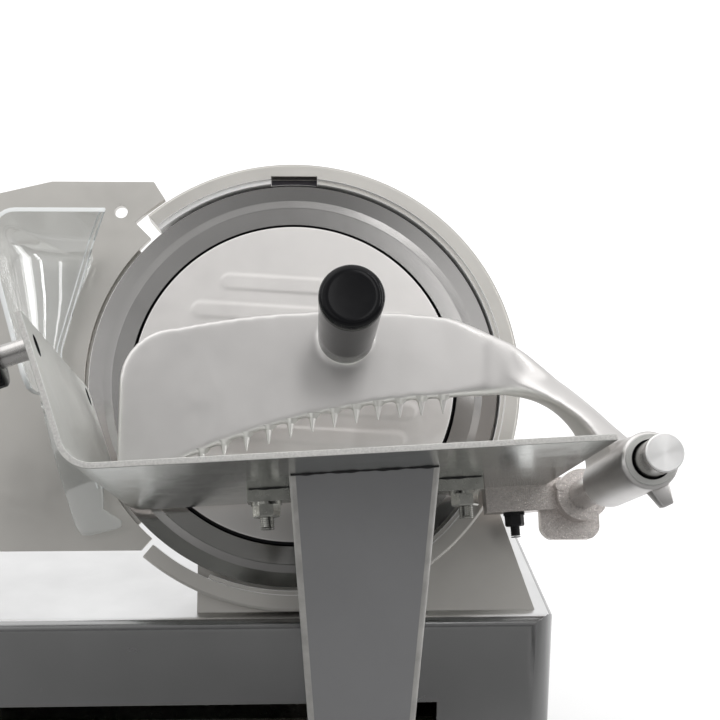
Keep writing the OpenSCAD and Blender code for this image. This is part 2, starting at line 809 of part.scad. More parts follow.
module index_cam() color("silver") facing_x(cam_x0, knob_y, knob_z) difference() {
    cylinder(r = cam_r, h = cam_t);
    half = pin_r + 0.4;
    turn_in = [for (a = [-28:8:cam_turn + 16]) cam_r0 + gauge_travel * a / cam_turn];
    turn_at = [for (a = [-28:8:cam_turn + 16]) -tilt - a];
    inner = [for (i = [0:len(turn_in) - 1]) (turn_in[i] - half) * dir(turn_at[i])];
    outer = [for (i = [len(turn_in) - 1:-1:0]) (turn_in[i] + half) * dir(turn_at[i])];
    translate([0, 0, cam_t - cam_groove]) linear_extrude(cam_groove + 1) polygon(concat(inner, outer));
}

module index_shaft() color("lightgray") facing_x(0, knob_y, knob_z) disc(shaft_r, knob_x0 + 6, cam_x0);

module index_knob() color("#202020") facing_x(0, knob_y, knob_z) difference() {
    union() {
        disc(knob_d / 2, knob_x1 - 6, knob_x1);
        disc(knob_d / 2 - 5, knob_x0, knob_x1);
    }
    disc(shaft_r + seat_gap, knob_x0 + 5.5, knob_x1 + 1);
}

module dial_plate() color("silver") facing_x(base_x0 - dial_t, knob_y, knob_z) tube(dial_r, shaft_r + 1, 0, dial_t);

panel_half = [34, 17];

module switch_panel() color("#303030") difference() {
    facing_x(base_x0 - dial_t, switch_y, switch_z) linear_extrude(dial_t)
        rounded_rect(-panel_half, panel_half, 5);
    for (side = [-1, 1]) facing_x(base_x0, switch_y + side * button_off, switch_z)
        disc(button_r + slide_gap, -dial_t - 1, 1);
    facing_x(base_x0, switch_y, switch_z) disc(lamp_r - 1, -dial_t - 1, 1);
}

module switch_body() color("#303030") difference() {
    facing_x(base_x0 + wall, switch_y, switch_z) linear_extrude(26) rounded_rect([-28, -14], [28, 14], 3);
    for (side = [-1, 1]) facing_x(base_x0 + wall, switch_y + side * button_off, switch_z)
        disc(button_r + slide_gap, -1, button_travel + 3);
    facing_x(base_x0 + wall, switch_y, switch_z) disc(lamp_r - 1, -1, 3);
}

module pilot_lamp() color("orange") facing_x(base_x0, switch_y, switch_z) {
    disc(lamp_r - 1.1, -dial_t, wall + 2);
    disc(lamp_r, -dial_t - 1.5, -dial_t);
}

module button(side) {
    facing_x(base_x0, switch_y + side * button_off, switch_z) {
        disc(button_r, -dial_t - button_travel - 2, wall + 1);
    }
}

module on_button() color("green") button(1);

module off_button() color("red") button(-1);

// Carriage

module carriage_slider() color("silver") at_machine() difference() {
    box([arm_x - slider_len / 2, guide_y - slider_half, arm_z0 + arm_foot_t],
        [arm_x + slider_len / 2, guide_y + slider_half, slider_top]);
    translate([arm_x - slider_len, guide_y, guide_z]) rotate([0, 90, 0])
        cylinder(r = guide_r + slide_bush_t + seat_gap, h = 2 * slider_len);
    arm_screw_places() disc(m8_r + seat_gap, 0, 15);
}

module slider_bushes() color("peru") at_machine()
    for (x = [arm_x - slider_len / 2, arm_x + slider_len / 2 - slide_bush_len])
        translate([x, guide_y, guide_z]) rotate([0, 90, 0])
            tube(guide_r + slide_bush_t, guide_r + run_gap, 0, slide_bush_len);

module arm_screw_places() {
    for (x = [-1, 1], y = [-1, 1])
        translate([arm_x + x * (arm_foot_w / 2 - 9), guide_y + y * (slider_half - screw_off), arm_z0 + arm_foot_t])
            children();
}

module arm_side(inset) {
    z0 = arm_z0 - inset;
    polygon([[arm_x - arm_foot_w / 2 + inset, z0], [arm_x + arm_foot_w / 2 - inset, z0],
             [arm_x + arm_top_w / 2 - inset, arm_z1], [arm_x - arm_top_w / 2 + inset, arm_z1]]);
}

module carriage_arm() color("gray") difference() {
    union() {
        at_machine() {
            difference() {
                translate([0, arm_y1, 0]) rotate([90, 0, 0]) linear_extrude(arm_depth) arm_side(0);
                translate([0, arm_y1 + arm_sheet, 0]) rotate([90, 0, 0]) linear_extrude(arm_depth) arm_side(arm_sheet);
            }
            box([arm_x - arm_foot_w / 2, arm_y0, arm_z0],
                [arm_x + arm_foot_w / 2, guide_y + slider_half, arm_z0 + arm_foot_t]);
        }
        at_tray() box([arm_x - tray_u - 19, -tray_t - bar_t, bar_w1], [arm_x - tray_u + 19, -tray_t, arm_front_w - 4.5]);
    }
    at_tray() translate([-big / 2, -tray_t, -big / 2]) cube(big);
    at_machine() arm_screw_places() {
        disc(m8_r + seat_gap, -arm_foot_t - 1, 1);
        disc(6.5 + seat_gap, -arm_foot_t - 1, -arm_foot_t + 7);
    }
}

module arm_screws() color("silver") at_machine() arm_screw_places() {
    disc(m8_r, -arm_foot_t + 6, 14);
    disc(6.5, -arm_foot_t + 0.5, -arm_foot_t + 7);
}

// Section of the bent sheet, from the fence's top round the bend to the tray's rear end.
module tray_area() {
    c = [bend_in, bend_r];
    side = dir(fence_lean - tray_slope);
    rise = dir(fence_lean - tray_slope + 90);
    polygon(concat(
        [fence_len * rise], arc(c, bend_r, 270 - bend_a, 270, 12), [[tray_len, 0], [tray_len, -tray_t]],
        arc(c, bend_r + tray_t, 270, 270 - bend_a, 12), [fence_len * rise - tray_t * side]));
}

module fence_hole(hole, r, x0, x1) {
    translate([0, hole[0], hole[1]]) rotate([0, 90, 0]) disc(r, x0, x1);
}

module tray() color("lightgray") difference() {
    at_tray() translate([0, 0, tray_w0]) linear_extrude(tray_depth) tray_area();
    at_fence() for (hole = [near_hole, far_hole]) fence_hole(hole, fence_hole_r, -tray_t - 1, 1);
}

stud_x = [bar_x0 + stud_inset, bar_x0 + bar_len - stud_inset];
stud_w = bar_w1 - bar_w / 2;

module cross_bar() color("silver") at_tray() difference() {
    box([bar_x0, -tray_t - bar_t, bar_w1 - bar_w], [bar_x0 + bar_len, -tray_t, bar_w1]);
    for (x = stud_x) translate([x, 0, stud_w]) rotate([90, 0, 0]) disc(m8_r + 0.2, 0, 30);
}

// Stud with a washer and a nut, hanging below a plate whose underside is at depth seat.
module hung_stud(r, af, seat, top) {
    rotate([90, 0, 0]) {
        disc(r, top, seat + washer_t + nut_h + stud_out);
        disc(2.1 * r, seat, seat + washer_t);
        translate([0, 0, seat + washer_t]) cylinder(r = af / 2 / cos(30), h = nut_h, $fn = 6);
    }
}

module tray_fasteners() color("silver") at_tray()
    for (x = stud_x) translate([x, 0, stud_w]) hung_stud(m8_r, nut_af, tray_t + bar_t, tray_t);

module rod_bracket() color("silver") difference() {
    union() {
        at_tray() box([bracket_bar_x0, -tray_t - bracket_bar_h, tray_w0 + 2],
                      [rod_u - tray_u, -tray_t, tray_w0 + 17]);
        at_blade() translate([0, 0, rod_w0]) linear_extrude(tab_t) polygon([
            [tab_u0 + 5, tab_low], [tab_u1 - 5, tab_low], [tab_u1, tab_low + 5], [tab_u1, tab_high - 4],
            [tab_u1 - 4, tab_high], [tray_end_u + 1.5, tab_high], [tray_end_u + 1.5, tab_low + 20],
            [tab_u0, tab_low + 20], [tab_u0, tab_low + 5]]);
        at_rod() disc(bracket_r, rod_w0, boss_w1);
        at_blade() translate([tray_end_u + 6.5, rod_v + 5.3, 0]) disc(3.2, rod_w0 + 1, boss_w1 + 0.6);
    }
    at_rod() disc(rod_r + seat_gap, 0, big);
    at_tray() translate([bracket_bolt_x, 0, tray_w0 + 9]) rotate([90, 0, 0]) disc(m6_r + run_gap, 0, 40);
}

module bracket_bolt() color("#282828") at_tray() translate([bracket_bolt_x, 0, tray_w0 + 9])
    hung_stud(m6_r, 10, tray_t + bracket_bar_h, tray_t);

module pusher_rod() color("lightgray") at_rod() disc(rod_r, rod_w0, rod_w1);

module rod_stop() color("silver") at_rod() {
    disc(stop_r, rod_w1 + 1, rod_w1 + stop_t);
    disc(rod_r - 1.5, rod_w1, rod_w1 + 1);
}

module handle_rod() color("lightgray") at_fence() fence_hole(near_hole, fence_hole_r - seat_gap, -60, -0.5);

module carriage_grip() color("#202020") at_fence() difference() {
    translate([-18, near_hole[0], near_hole[1]]) rotate([0, -90, 0]) rotate_extrude() polygon(concat(
        [[0, 0], [grip_d / 2 - 3, 0], [grip_d / 2 - 2, 1]],
        arc([grip_d / 2 - 5, grip_len - 5], 5, 0, 90, 6), [[0, grip_len]]));
    fence_hole(near_hole, fence_hole_r, -60.5, 1);
}

guard_w0 = tray_w0 + 2;
guard_w1 = guard_w0 + 41;
guard_u0 = -178;
guard_top = 86;
guard_rise = 8;
// Line along which the guard's face turns into its side wall.
guard_line = [[guard_u0, 70], [-140.4, -56], [-127.1, -94.8]];

// Room above the hood, with v to the right and w running up.
module above_hood() {
    polygon([[guard_top, guard_w0 - 1], [guard_top, guard_w0], [guard_top + guard_rise, guard_w1],
             [guard_top + guard_rise, guard_w1 + 1], [guard_top + 60, guard_w1 + 1], [guard_top + 60, guard_w0 - 1]]);
}

module guard_hood() {
    intersection() {
        translate([guard_u0, 0, 0]) rotate([90, 0, 90]) linear_extrude(90) polygon([
            [guard_top - guard_t, guard_w0], [guard_top + 20, guard_w0], [guard_top + 20, guard_w1],
            [guard_top + guard_rise - guard_t, guard_w1]]);
        translate([0, guard_top + 40, 0]) rotate([90, 0, 0]) linear_extrude(80) polygon([
            [guard_u0, guard_w0], [-122.5, guard_w0], [-110.5, guard_w1], [guard_u0, guard_w1]]);
    }
}

module hand_guard() color("azure", 0.35) difference() {
    union() {
        at_blade() translate([0, 0, guard_w0]) linear_extrude(guard_t) polygon(concat(
            [[-122.5, guard_top + 5], [guard_u0, guard_top + 5]], guard_line,
            [[-118, -93.8], [-101, -89], [-101, -86], [-112, -79], [-112.6, -67], [-132.6, -8.7], [-140.5, 14]]));
        at_blade() translate([0, 0, guard_w0]) linear_extrude(guard_w1 - guard_w0) polygon(concat(
            [[guard_u0, guard_top + 20]], guard_line, [[-127.1 + guard_t, -94.4], [-140.4 + guard_t, -56],
            [guard_u0 + guard_t, 70], [guard_u0 + guard_t, guard_top + 20]]));
        at_blade() guard_hood();
        at_fence() fence_hole(far_hole, 6, -29.5, -tray_t);
    }
    at_blade() translate([-250, 0, 0]) rotate([90, 0, 90]) linear_extrude(200) above_hood();
    at_fence() fence_hole(far_hole, m6_r + seat_gap, -21, 1);
}

module guard_screw() color("silver") at_fence() {
    fence_hole(far_hole, fence_hole_r - seat_gap, -tray_t, -0.5);
    fence_hole(far_hole, m6_r, -20, -tray_t);
}

// Pusher

function bend(a, b, c, n) = [for (i = [0:n]) let (t = i / n)
    (1 - t) * (1 - t) * a + 2 * t * (1 - t) * b + t * t * c];
function belly(u) = belly_v - belly_r + sqrt(belly_r * belly_r - pow(u - belly_u, 2));

// The pusher seen along the blade's axis, from the plate's straight end to the hub.
module pusher_front() {
    low_u = pusher_u0 + low_corner;
    crown_start = asin((pusher_u0 + corner_r - crown_u) / crown_r);
    crown_end = asin((86 - crown_u) / crown_r);
    corner_c = [pusher_u0 + corner_r, crown_v - crown_r + crown_r * cos(crown_start) - corner_r];
    top_end = [crown_u, crown_v - crown_r] + crown_r * dir(90 - crown_end);
    polygon(concat(
        [[pusher_u0, belly(pusher_u0) + low_corner]],
        [for (i = [0:16]) let (u = low_u + (112 - low_u) * i / 17) [u, belly(u)]],
        bend([112, belly(112)], [rod_u - 18.5, belly(112)], [rod_u - 11, rod_v + 5], 10),
        [[rod_u + 6, rod_v + 5]],
        bend([rod_u + 6, rod_v + hub_r - 2], [rod_u - 28.5, 6], top_end, 12),
        [for (i = [1:16]) [crown_u, crown_v - crown_r]
            + crown_r * dir(90 - crown_end + (crown_end - crown_start) * i / 16)],
        [for (i = [1:8]) corner_c + corner_r * dir(90 + 90 * i / 8)]));
}

// The pusher seen from above, with v out of the page and w running up it.
module pusher_plan() {
    polygon(concat(
        [[pusher_u0 - 5, pusher_back]],
        bend([106, pusher_back], [rod_u - 18.5, pusher_back + 2], [rod_u - 4, hub_w0 + 4], 8),
        [[rod_u + hub_r, hub_w0 + 4], [rod_u + hub_r, hub_w1 - 8]],
        bend([rod_u - 6, hub_w1 - 12], [rod_u - 28.5, pusher_face + 6], [106, pusher_face], 10),
        [[pusher_u0 - 5, pusher_face]]));
}

// The pusher seen from its end, with v to the right and w running up: the arm slants down to the hub.
module pusher_end() {
    hub_top = rod_v + hub_r - 0.5;
    polygon([[rod_v - 60, pusher_back - 1], [crown_v + 10, pusher_back - 1], [crown_v + 10, pusher_face + 3],
             [crown_v - 38, pusher_face + 7], [hub_top, pusher_face + 52], [hub_top, hub_w1], [rod_v - 60, hub_w1]]);
}

module pusher_web() {
    intersection() {
        translate([-200, 0, 0]) rotate([90, 0, 90]) linear_extrude(500) pusher_end();
        translate([0, 0, pusher_back - 1]) linear_extrude(hub_w1 - pusher_back) pusher_front();
        translate([0, 60, 0]) rotate([90, 0, 0]) linear_extrude(200) pusher_plan();
    }
}

module pusher_casting() color("gainsboro") difference() {
    union() {
        at_blade() pusher_web();
        at_rod() disc(hub_r, hub_w0, hub_w1);
        at_blade() translate([handle_u, handle_v, 0]) disc(handle_base_r - 0.5, pusher_face - 1, pusher_face + handle_collar);
        at_blade() for (k = [0:tooth_count - 1]) {
            u = tooth_u1 - k * tooth_pitch;
            translate([u, belly(u) + 1, pusher_face - pusher_t / 2]) rotate([90, 0, 0])
                cylinder(r1 = tooth_r, r2 = 0.4, h = tooth_len + 1);
        }
        at_rod() rotate(-66) box([hub_r - 2, -4.5, hub_w1 - 16], [hub_r + 9, 4.5, hub_w1 - 5]);
    }
    at_rod() disc(bush_r + run_gap, 0, big);
    at_blade() translate([handle_u, handle_v, 0]) disc(m8_r + seat_gap, pusher_back + 2, big);
}

module pusher_bush() color("#d8d8d0") at_rod() {
    tube(bush_r, rod_r + run_gap, hub_w0, hub_w1 + slide_gap + bush_flange_t);
    tube(bush_r + 1.2, bush_r - 0.2, hub_w1 + slide_gap, hub_w1 + slide_gap + bush_flange_t);
}

module pusher_handle() color("#181818") at_blade() translate([handle_u, handle_v, pusher_face + handle_collar]) {
    rotate_extrude() polygon(concat(
        [[0, 0], [handle_base_r, 0]], arc([handle_r - 4, handle_len - 4], 4, 0, 90, 8), [[0, handle_len]]));
    disc(m8_r, -pusher_t - handle_collar + 2.2, 1);
}

base_casting();
base_plate();
rubber_feet();
blade_housing();
housing_bolts();
ring_guard();
ring_screws();
spindle();
spindle_nut();
blade_cover();
slice_deflector();
motor_body();
motor_screws();
motor_cover();
drive_belt();
guide_rod();
support_rail();
slide_lugs();
gauge_shaft();
switch_panel();
switch_body();
pilot_lamp();
cable_gland();
dial_plate();
blade();
blade_pulley();
blade_screws();
blade_bearings();
motor_shaft();
motor_pulley();
cover_knob();
tie_rod();
gauge_plate();
gauge_bracket();
gauge_screws();
gauge_pin();
index_knob();
index_shaft();
index_cam();
on_button();
off_button();
carriage_slider();
slider_bushes();
carriage_arm();
arm_screws();
tray();
cross_bar();
tray_fasteners();
rod_bracket();
bracket_bolt();
pusher_rod();
rod_stop();
handle_rod();
carriage_grip();
hand_guard();
guard_screw();
pusher_bush();
pusher_casting();
pusher_handle();
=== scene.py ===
"""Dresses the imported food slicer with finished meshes, finishes, a studio and a camera."""

import json
import math

import bmesh
import bpy
from bpy.props import FloatProperty, FloatVectorProperty, IntProperty, PointerProperty
from mathutils import Matrix, Vector

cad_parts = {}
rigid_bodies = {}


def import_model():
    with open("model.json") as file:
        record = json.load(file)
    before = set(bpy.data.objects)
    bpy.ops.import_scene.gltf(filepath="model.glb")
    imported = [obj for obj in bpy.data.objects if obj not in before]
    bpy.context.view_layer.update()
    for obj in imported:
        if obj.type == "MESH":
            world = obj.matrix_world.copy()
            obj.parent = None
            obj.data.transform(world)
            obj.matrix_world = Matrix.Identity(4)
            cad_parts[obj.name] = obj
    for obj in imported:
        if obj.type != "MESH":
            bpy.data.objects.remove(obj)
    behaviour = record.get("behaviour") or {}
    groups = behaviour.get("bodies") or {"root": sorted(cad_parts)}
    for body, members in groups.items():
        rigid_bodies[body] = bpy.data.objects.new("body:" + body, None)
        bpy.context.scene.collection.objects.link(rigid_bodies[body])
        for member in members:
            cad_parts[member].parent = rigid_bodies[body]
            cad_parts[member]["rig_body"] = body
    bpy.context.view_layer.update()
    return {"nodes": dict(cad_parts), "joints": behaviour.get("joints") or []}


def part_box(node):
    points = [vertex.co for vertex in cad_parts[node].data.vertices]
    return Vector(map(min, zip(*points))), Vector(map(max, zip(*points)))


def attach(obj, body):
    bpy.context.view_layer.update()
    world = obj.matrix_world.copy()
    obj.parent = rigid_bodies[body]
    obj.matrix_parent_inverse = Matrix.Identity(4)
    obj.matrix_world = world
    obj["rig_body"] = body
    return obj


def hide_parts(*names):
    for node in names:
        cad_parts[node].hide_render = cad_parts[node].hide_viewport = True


bl_info = {
    "name": "Food slicer looks",
    "version": (1, 0, 0),
    "blender": (4, 5, 0),
    "location": "View3D > Sidebar > Slicer",
    "description": "Finished meshes, materials and studio for an electric food slicer",
    "category": "Object",
}

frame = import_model()
NODES = frame["nodes"]
JOINTS = {joint["name"]: joint for joint in frame["joints"]}
MM = 0.001

# Corner where the inner faces of tray and fence meet, in the blade's axes, with their two angles.
TRAY_CORNER = (-99.5, -76.7)
TRAY_SLOPE = 2.9
FENCE_LEAN = 19.0


# Places

def moved(x, y, z):
    """Step in millimetres."""
    return Matrix.Translation(Vector((x, y, z)) * MM)


def rotated(degrees, axis):
    return Matrix.Rotation(math.radians(degrees), 4, axis)


def polar(radius, angle):
    return radius * math.cos(angle), radius * math.sin(angle)


def blade_place():
    """Place on the blade's axis, with local x along X and local z along the axis."""
    spin = JOINTS["blade_spin"]
    w = Vector(spin["axis"]).normalized()
    u = Vector((1, 0, 0))
    place = Matrix((u, w.cross(u), w)).transposed().to_4x4()
    place.translation = Vector(spin["pos_m"])
    return place


BLADE = blade_place()
ROD_AT = (BLADE.inverted() @ Vector(JOINTS["pusher_swing"]["pos_m"])) / MM
ROD = BLADE @ moved(ROD_AT.x, ROD_AT.y, 0)
TRAY = BLADE @ moved(*TRAY_CORNER, 0) @ rotated(TRAY_SLOPE, "Z")
FENCE = BLADE @ moved(*TRAY_CORNER, 0) @ rotated(FENCE_LEAN, "Z")
# Local x, y and z of a face on the front end run along Y, Z and X.
FRONT_AXES = Matrix(((0, 0, 1, 0), (1, 0, 0, 0), (0, 1, 0, 0), (0, 0, 0, 1)))
KNOB = Matrix.Translation(Vector(JOINTS["index_turn"]["pos_m"])) @ FRONT_AXES


def heading(place, *axis):
    """Direction of a place's own axis."""
    return (place.to_3x3() @ Vector(axis)).normalized()


def span(node, place):
    """Lowest and highest corner of a CAD node in a place's own axes, in millimetres."""
    back = place.inverted()
    points = [back @ v.co / MM for v in NODES[node].data.vertices]
    low = Vector([min(p[i] for p in points) for i in range(3)])
    high = Vector([max(p[i] for p in points) for i in range(3)])
    return low, high


# Sizes and colours

def length(name, text, default):
    return FloatProperty(name=name, description=text, default=default, unit="LENGTH", precision=5)


def number(name, text, default, least):
    return IntProperty(name=name, description=text, default=default, min=least)


def colour(name, text, default):
    return FloatVectorProperty(
        name=name, description=text, default=default, subtype="COLOR", min=0, max=1)


class SlicerSizes(bpy.types.PropertyGroup):
    cast_round: length("Casting round", "Rounding of the castings' sharp edges", 0.0008)
    sheet_round: length("Sheet round", "Rounding of the sheared sheet edges", 0.0004)
    rib_width: length("Cover rib width", "Width of a rib pressed into the blade cover", 0.0105)
    rib_pitch: length("Cover rib pitch", "Distance between ribs of the blade cover", 0.0188)
    rib_height: length("Cover rib height", "Height of a rib of the blade cover", 0.00025)
    tooth_length: length("Tooth length", "Length of a pusher tooth", 0.009)
    tooth_radius: length("Tooth radius", "Radius of a pusher tooth at its root", 0.0027)
    tooth_flare: length("Tooth flare", "Radius of the flare at a tooth's root", 0.0046)
    tooth_count: number("Teeth", "Number of pusher teeth", 13, 1)
    cast_voxel: length("Casting voxel", "Voxel that rounds the pusher casting", 0.0012)
    guard_bend: length("Guard bend", "Reach of the clear guard's bends", 0.014)
    guard_wall: length("Guard wall", "Thickness of the clear guard", 0.0028)
    arm_bend: length("Arm bend", "Radius of the bends along the arm's sides", 0.0035)
    knurl_count: number("Knurls", "Knurls round the rod's end collar", 84, 8)
    floor_size: length("Floor size", "Half length of the studio floor", 4.0)


class SlicerColours(bpy.types.PropertyGroup):
    casting: colour("Casting", "Satin anodised castings", (0.57, 0.553, 0.522))
    cover: colour("Blade cover", "Satin pressed blade cover", (0.75, 0.728, 0.71))
    tray: colour("Tray", "Finely blasted tray sheet", (0.67, 0.685, 0.66))
    # The underside's darker colour is painted shade under the tray.
    tray_under: colour("Tray underside", "Rolled underside of the tray sheet", (0.54, 0.555, 0.53))
    sheared: colour("Sheared edge", "Rough pale edge of a sheared sheet", (0.6, 0.59, 0.57))
    pusher: colour("Pusher", "Pale satin pusher casting", (0.65, 0.633, 0.62))
    base: colour("Base", "Pale satin base casting", (0.8, 0.8, 0.8))
    # The sides' darker colour is painted shade: the same casting as the deck, darkened.
    base_side: colour("Base side", "Polished sides of the base casting", (0.29, 0.29, 0.29))
    # The arm's dark grey is partly its grey coat and partly painted shade of the web under the
    # tray.
    arm: colour("Arm", "Grey coat of the carriage arm", (0.29, 0.29, 0.295))
    arm_bend: colour("Arm bends", "Worn coat along the arm's bends", (0.5, 0.49, 0.47))
    milled: colour("Milled", "Milled bracket", (0.66, 0.615, 0.59))
    steel: colour("Steel", "Bright turned steel", (0.55, 0.535, 0.52))
    blade: colour("Blade", "Polished blade steel", (0.47, 0.46, 0.45))
    zinc: colour("Zinc", "Zinc plated fasteners", (0.43, 0.43, 0.4))
    black: colour("Black plastic", "Glossy black handles", (0.006, 0.006, 0.007))
    rubber: colour("Rubber", "Black rubber", (0.02, 0.02, 0.02))
    motor: colour("Motor", "Grey motor paint", (0.09, 0.095, 0.1))
    floor: colour("Floor", "Pale studio floor", (0.33, 0.33, 0.33))


def sizes():
    return bpy.context.scene.slicer_sizes


def colours():
    return bpy.context.scene.slicer_colours


# Node tools

BUILT = {}


def once(build):
    """What a builder returns, built on the first call."""
    if build not in BUILT:
        BUILT[build] = build()
    return BUILT[build]


def put(tree, socket, value):
    """Links an input to another node's output, or sets it to a constant."""
    if isinstance(value, bpy.types.NodeSocket):
        tree.links.new(value, socket)
    else:
        socket.default_value = value


def add(tree, kind, *feeds, **values):
    """New node. Feeds go to its inputs in order, and named values to its inputs or its settings.

    A feed of None passes over an input. In an input's name an underscore stands for a space."""
    node = tree.nodes.new(kind)
    for name, value in values.items():
        label = name.replace("_", " ")
        if label in node.inputs:
            put(tree, node.inputs[label], value)
        else:
            setattr(node, name, value)
    for socket, value in zip(node.inputs, feeds):
        if value is not None:
            put(tree, socket, value)
    return node


def times(tree, a, b):
    return add(tree, "ShaderNodeMath", a, b, operation="MULTIPLY").outputs[0]


def ramp(tree, source, start, stop, low, high, kind="SMOOTHSTEP"):
    """Goes from one value to another between two values of its source."""
    node = add(tree, "ShaderNodeMapRange", interpolation_type=kind, Value=source, From_Min=start,
               From_Max=stop, To_Min=low, To_Max=high)
    return node.outputs["Result"]


def new_tree(name, kind, inputs, outputs):
    """Empty node group with named sockets, its input node and its output node."""
    tree = bpy.data.node_groups.new(name, kind)
    kinds = {"Geometry": "Geometry", "Material": "Material", "Count": "Int", "Size": "Vector",
             "Vector": "Vector"}
    for labels, way in ((inputs, "INPUT"), (outputs, "OUTPUT")):
        for label in labels:
            socket_type = "NodeSocket" + kinds.get(label, "Float")
            tree.interface.new_socket(label, in_out=way, socket_type=socket_type)
    return tree, tree.nodes.new("NodeGroupInput"), tree.nodes.new("NodeGroupOutput")


# Shader groups

def grain_group():
    """Fine blasted or cast grain with a slow drift of shade and finer smudges over it."""
    group, enter, leave = new_tree("Cast grain", "ShaderNodeTree", ("Vector", "Scale", "Drift"),
                                   ("Height", "Shade", "Smudge"))
    vector, scale, drift = (enter.outputs[label] for label in ("Vector", "Scale", "Drift"))
    finer = 3.3
    smudge = times(group, drift, finer)
    for label, size, detail, roughness, distortion in (
            ("Height", scale, 3.0, 0.6, 0.0), ("Shade", drift, 4.0, 0.55, 0.0),
            ("Smudge", smudge, 6.0, 0.7, 0.6)):
        noise = add(group, "ShaderNodeTexNoise", Vector=vector, Scale=size, Detail=detail,
                    Roughness=roughness, Distortion=distortion)
        put(group, leave.inputs[label], noise.outputs["Fac"])
    return group


def rings_group():
    """Fine turned rings about the local Z axis."""
    group, enter, leave = new_tree("Turned rings", "ShaderNodeTree", ("Vector", "Density"),
                                   ("Height",))
    flat = add(group, "ShaderNodeVectorMath", enter.outputs["Vector"], (1, 1, 0),
               operation="MULTIPLY")
    far = add(group, "ShaderNodeVectorMath", flat.outputs[0], operation="LENGTH")
    along = times(group, far.outputs["Value"], enter.outputs["Density"])
    noise = add(group, "ShaderNodeTexNoise", noise_dimensions="1D", W=along, Scale=1.0, Detail=2.0)
    put(group, leave.inputs["Height"], noise.outputs["Fac"])
    return group


def lines_group():
    """Long drawn lines that run along the local X axis."""
    group, enter, leave = new_tree("Drawn lines", "ShaderNodeTree", ("Vector", "Density"),
                                   ("Height",))
    stretch = (0.02, 1, 1)
    squeeze = add(group, "ShaderNodeVectorMath", enter.outputs["Vector"], stretch,
                  operation="MULTIPLY")
    noise = add(group, "ShaderNodeTexNoise", Vector=squeeze.outputs[0],
                Scale=enter.outputs["Density"], Detail=2.0)
    put(group, leave.inputs["Height"], noise.outputs["Fac"])
    return group


# Finishes

TURN_MAP = "Turn"
BUMP = 0.0002
# Range of a noise's value that its shade and smudges use.
NOISE_RANGE = (0.3, 0.7)

SATIN = {"grain": 2200, "depth": 0.04, "spread": 0.05}
GLOSS = {"metallic": 0.0, "depth": 0.02}
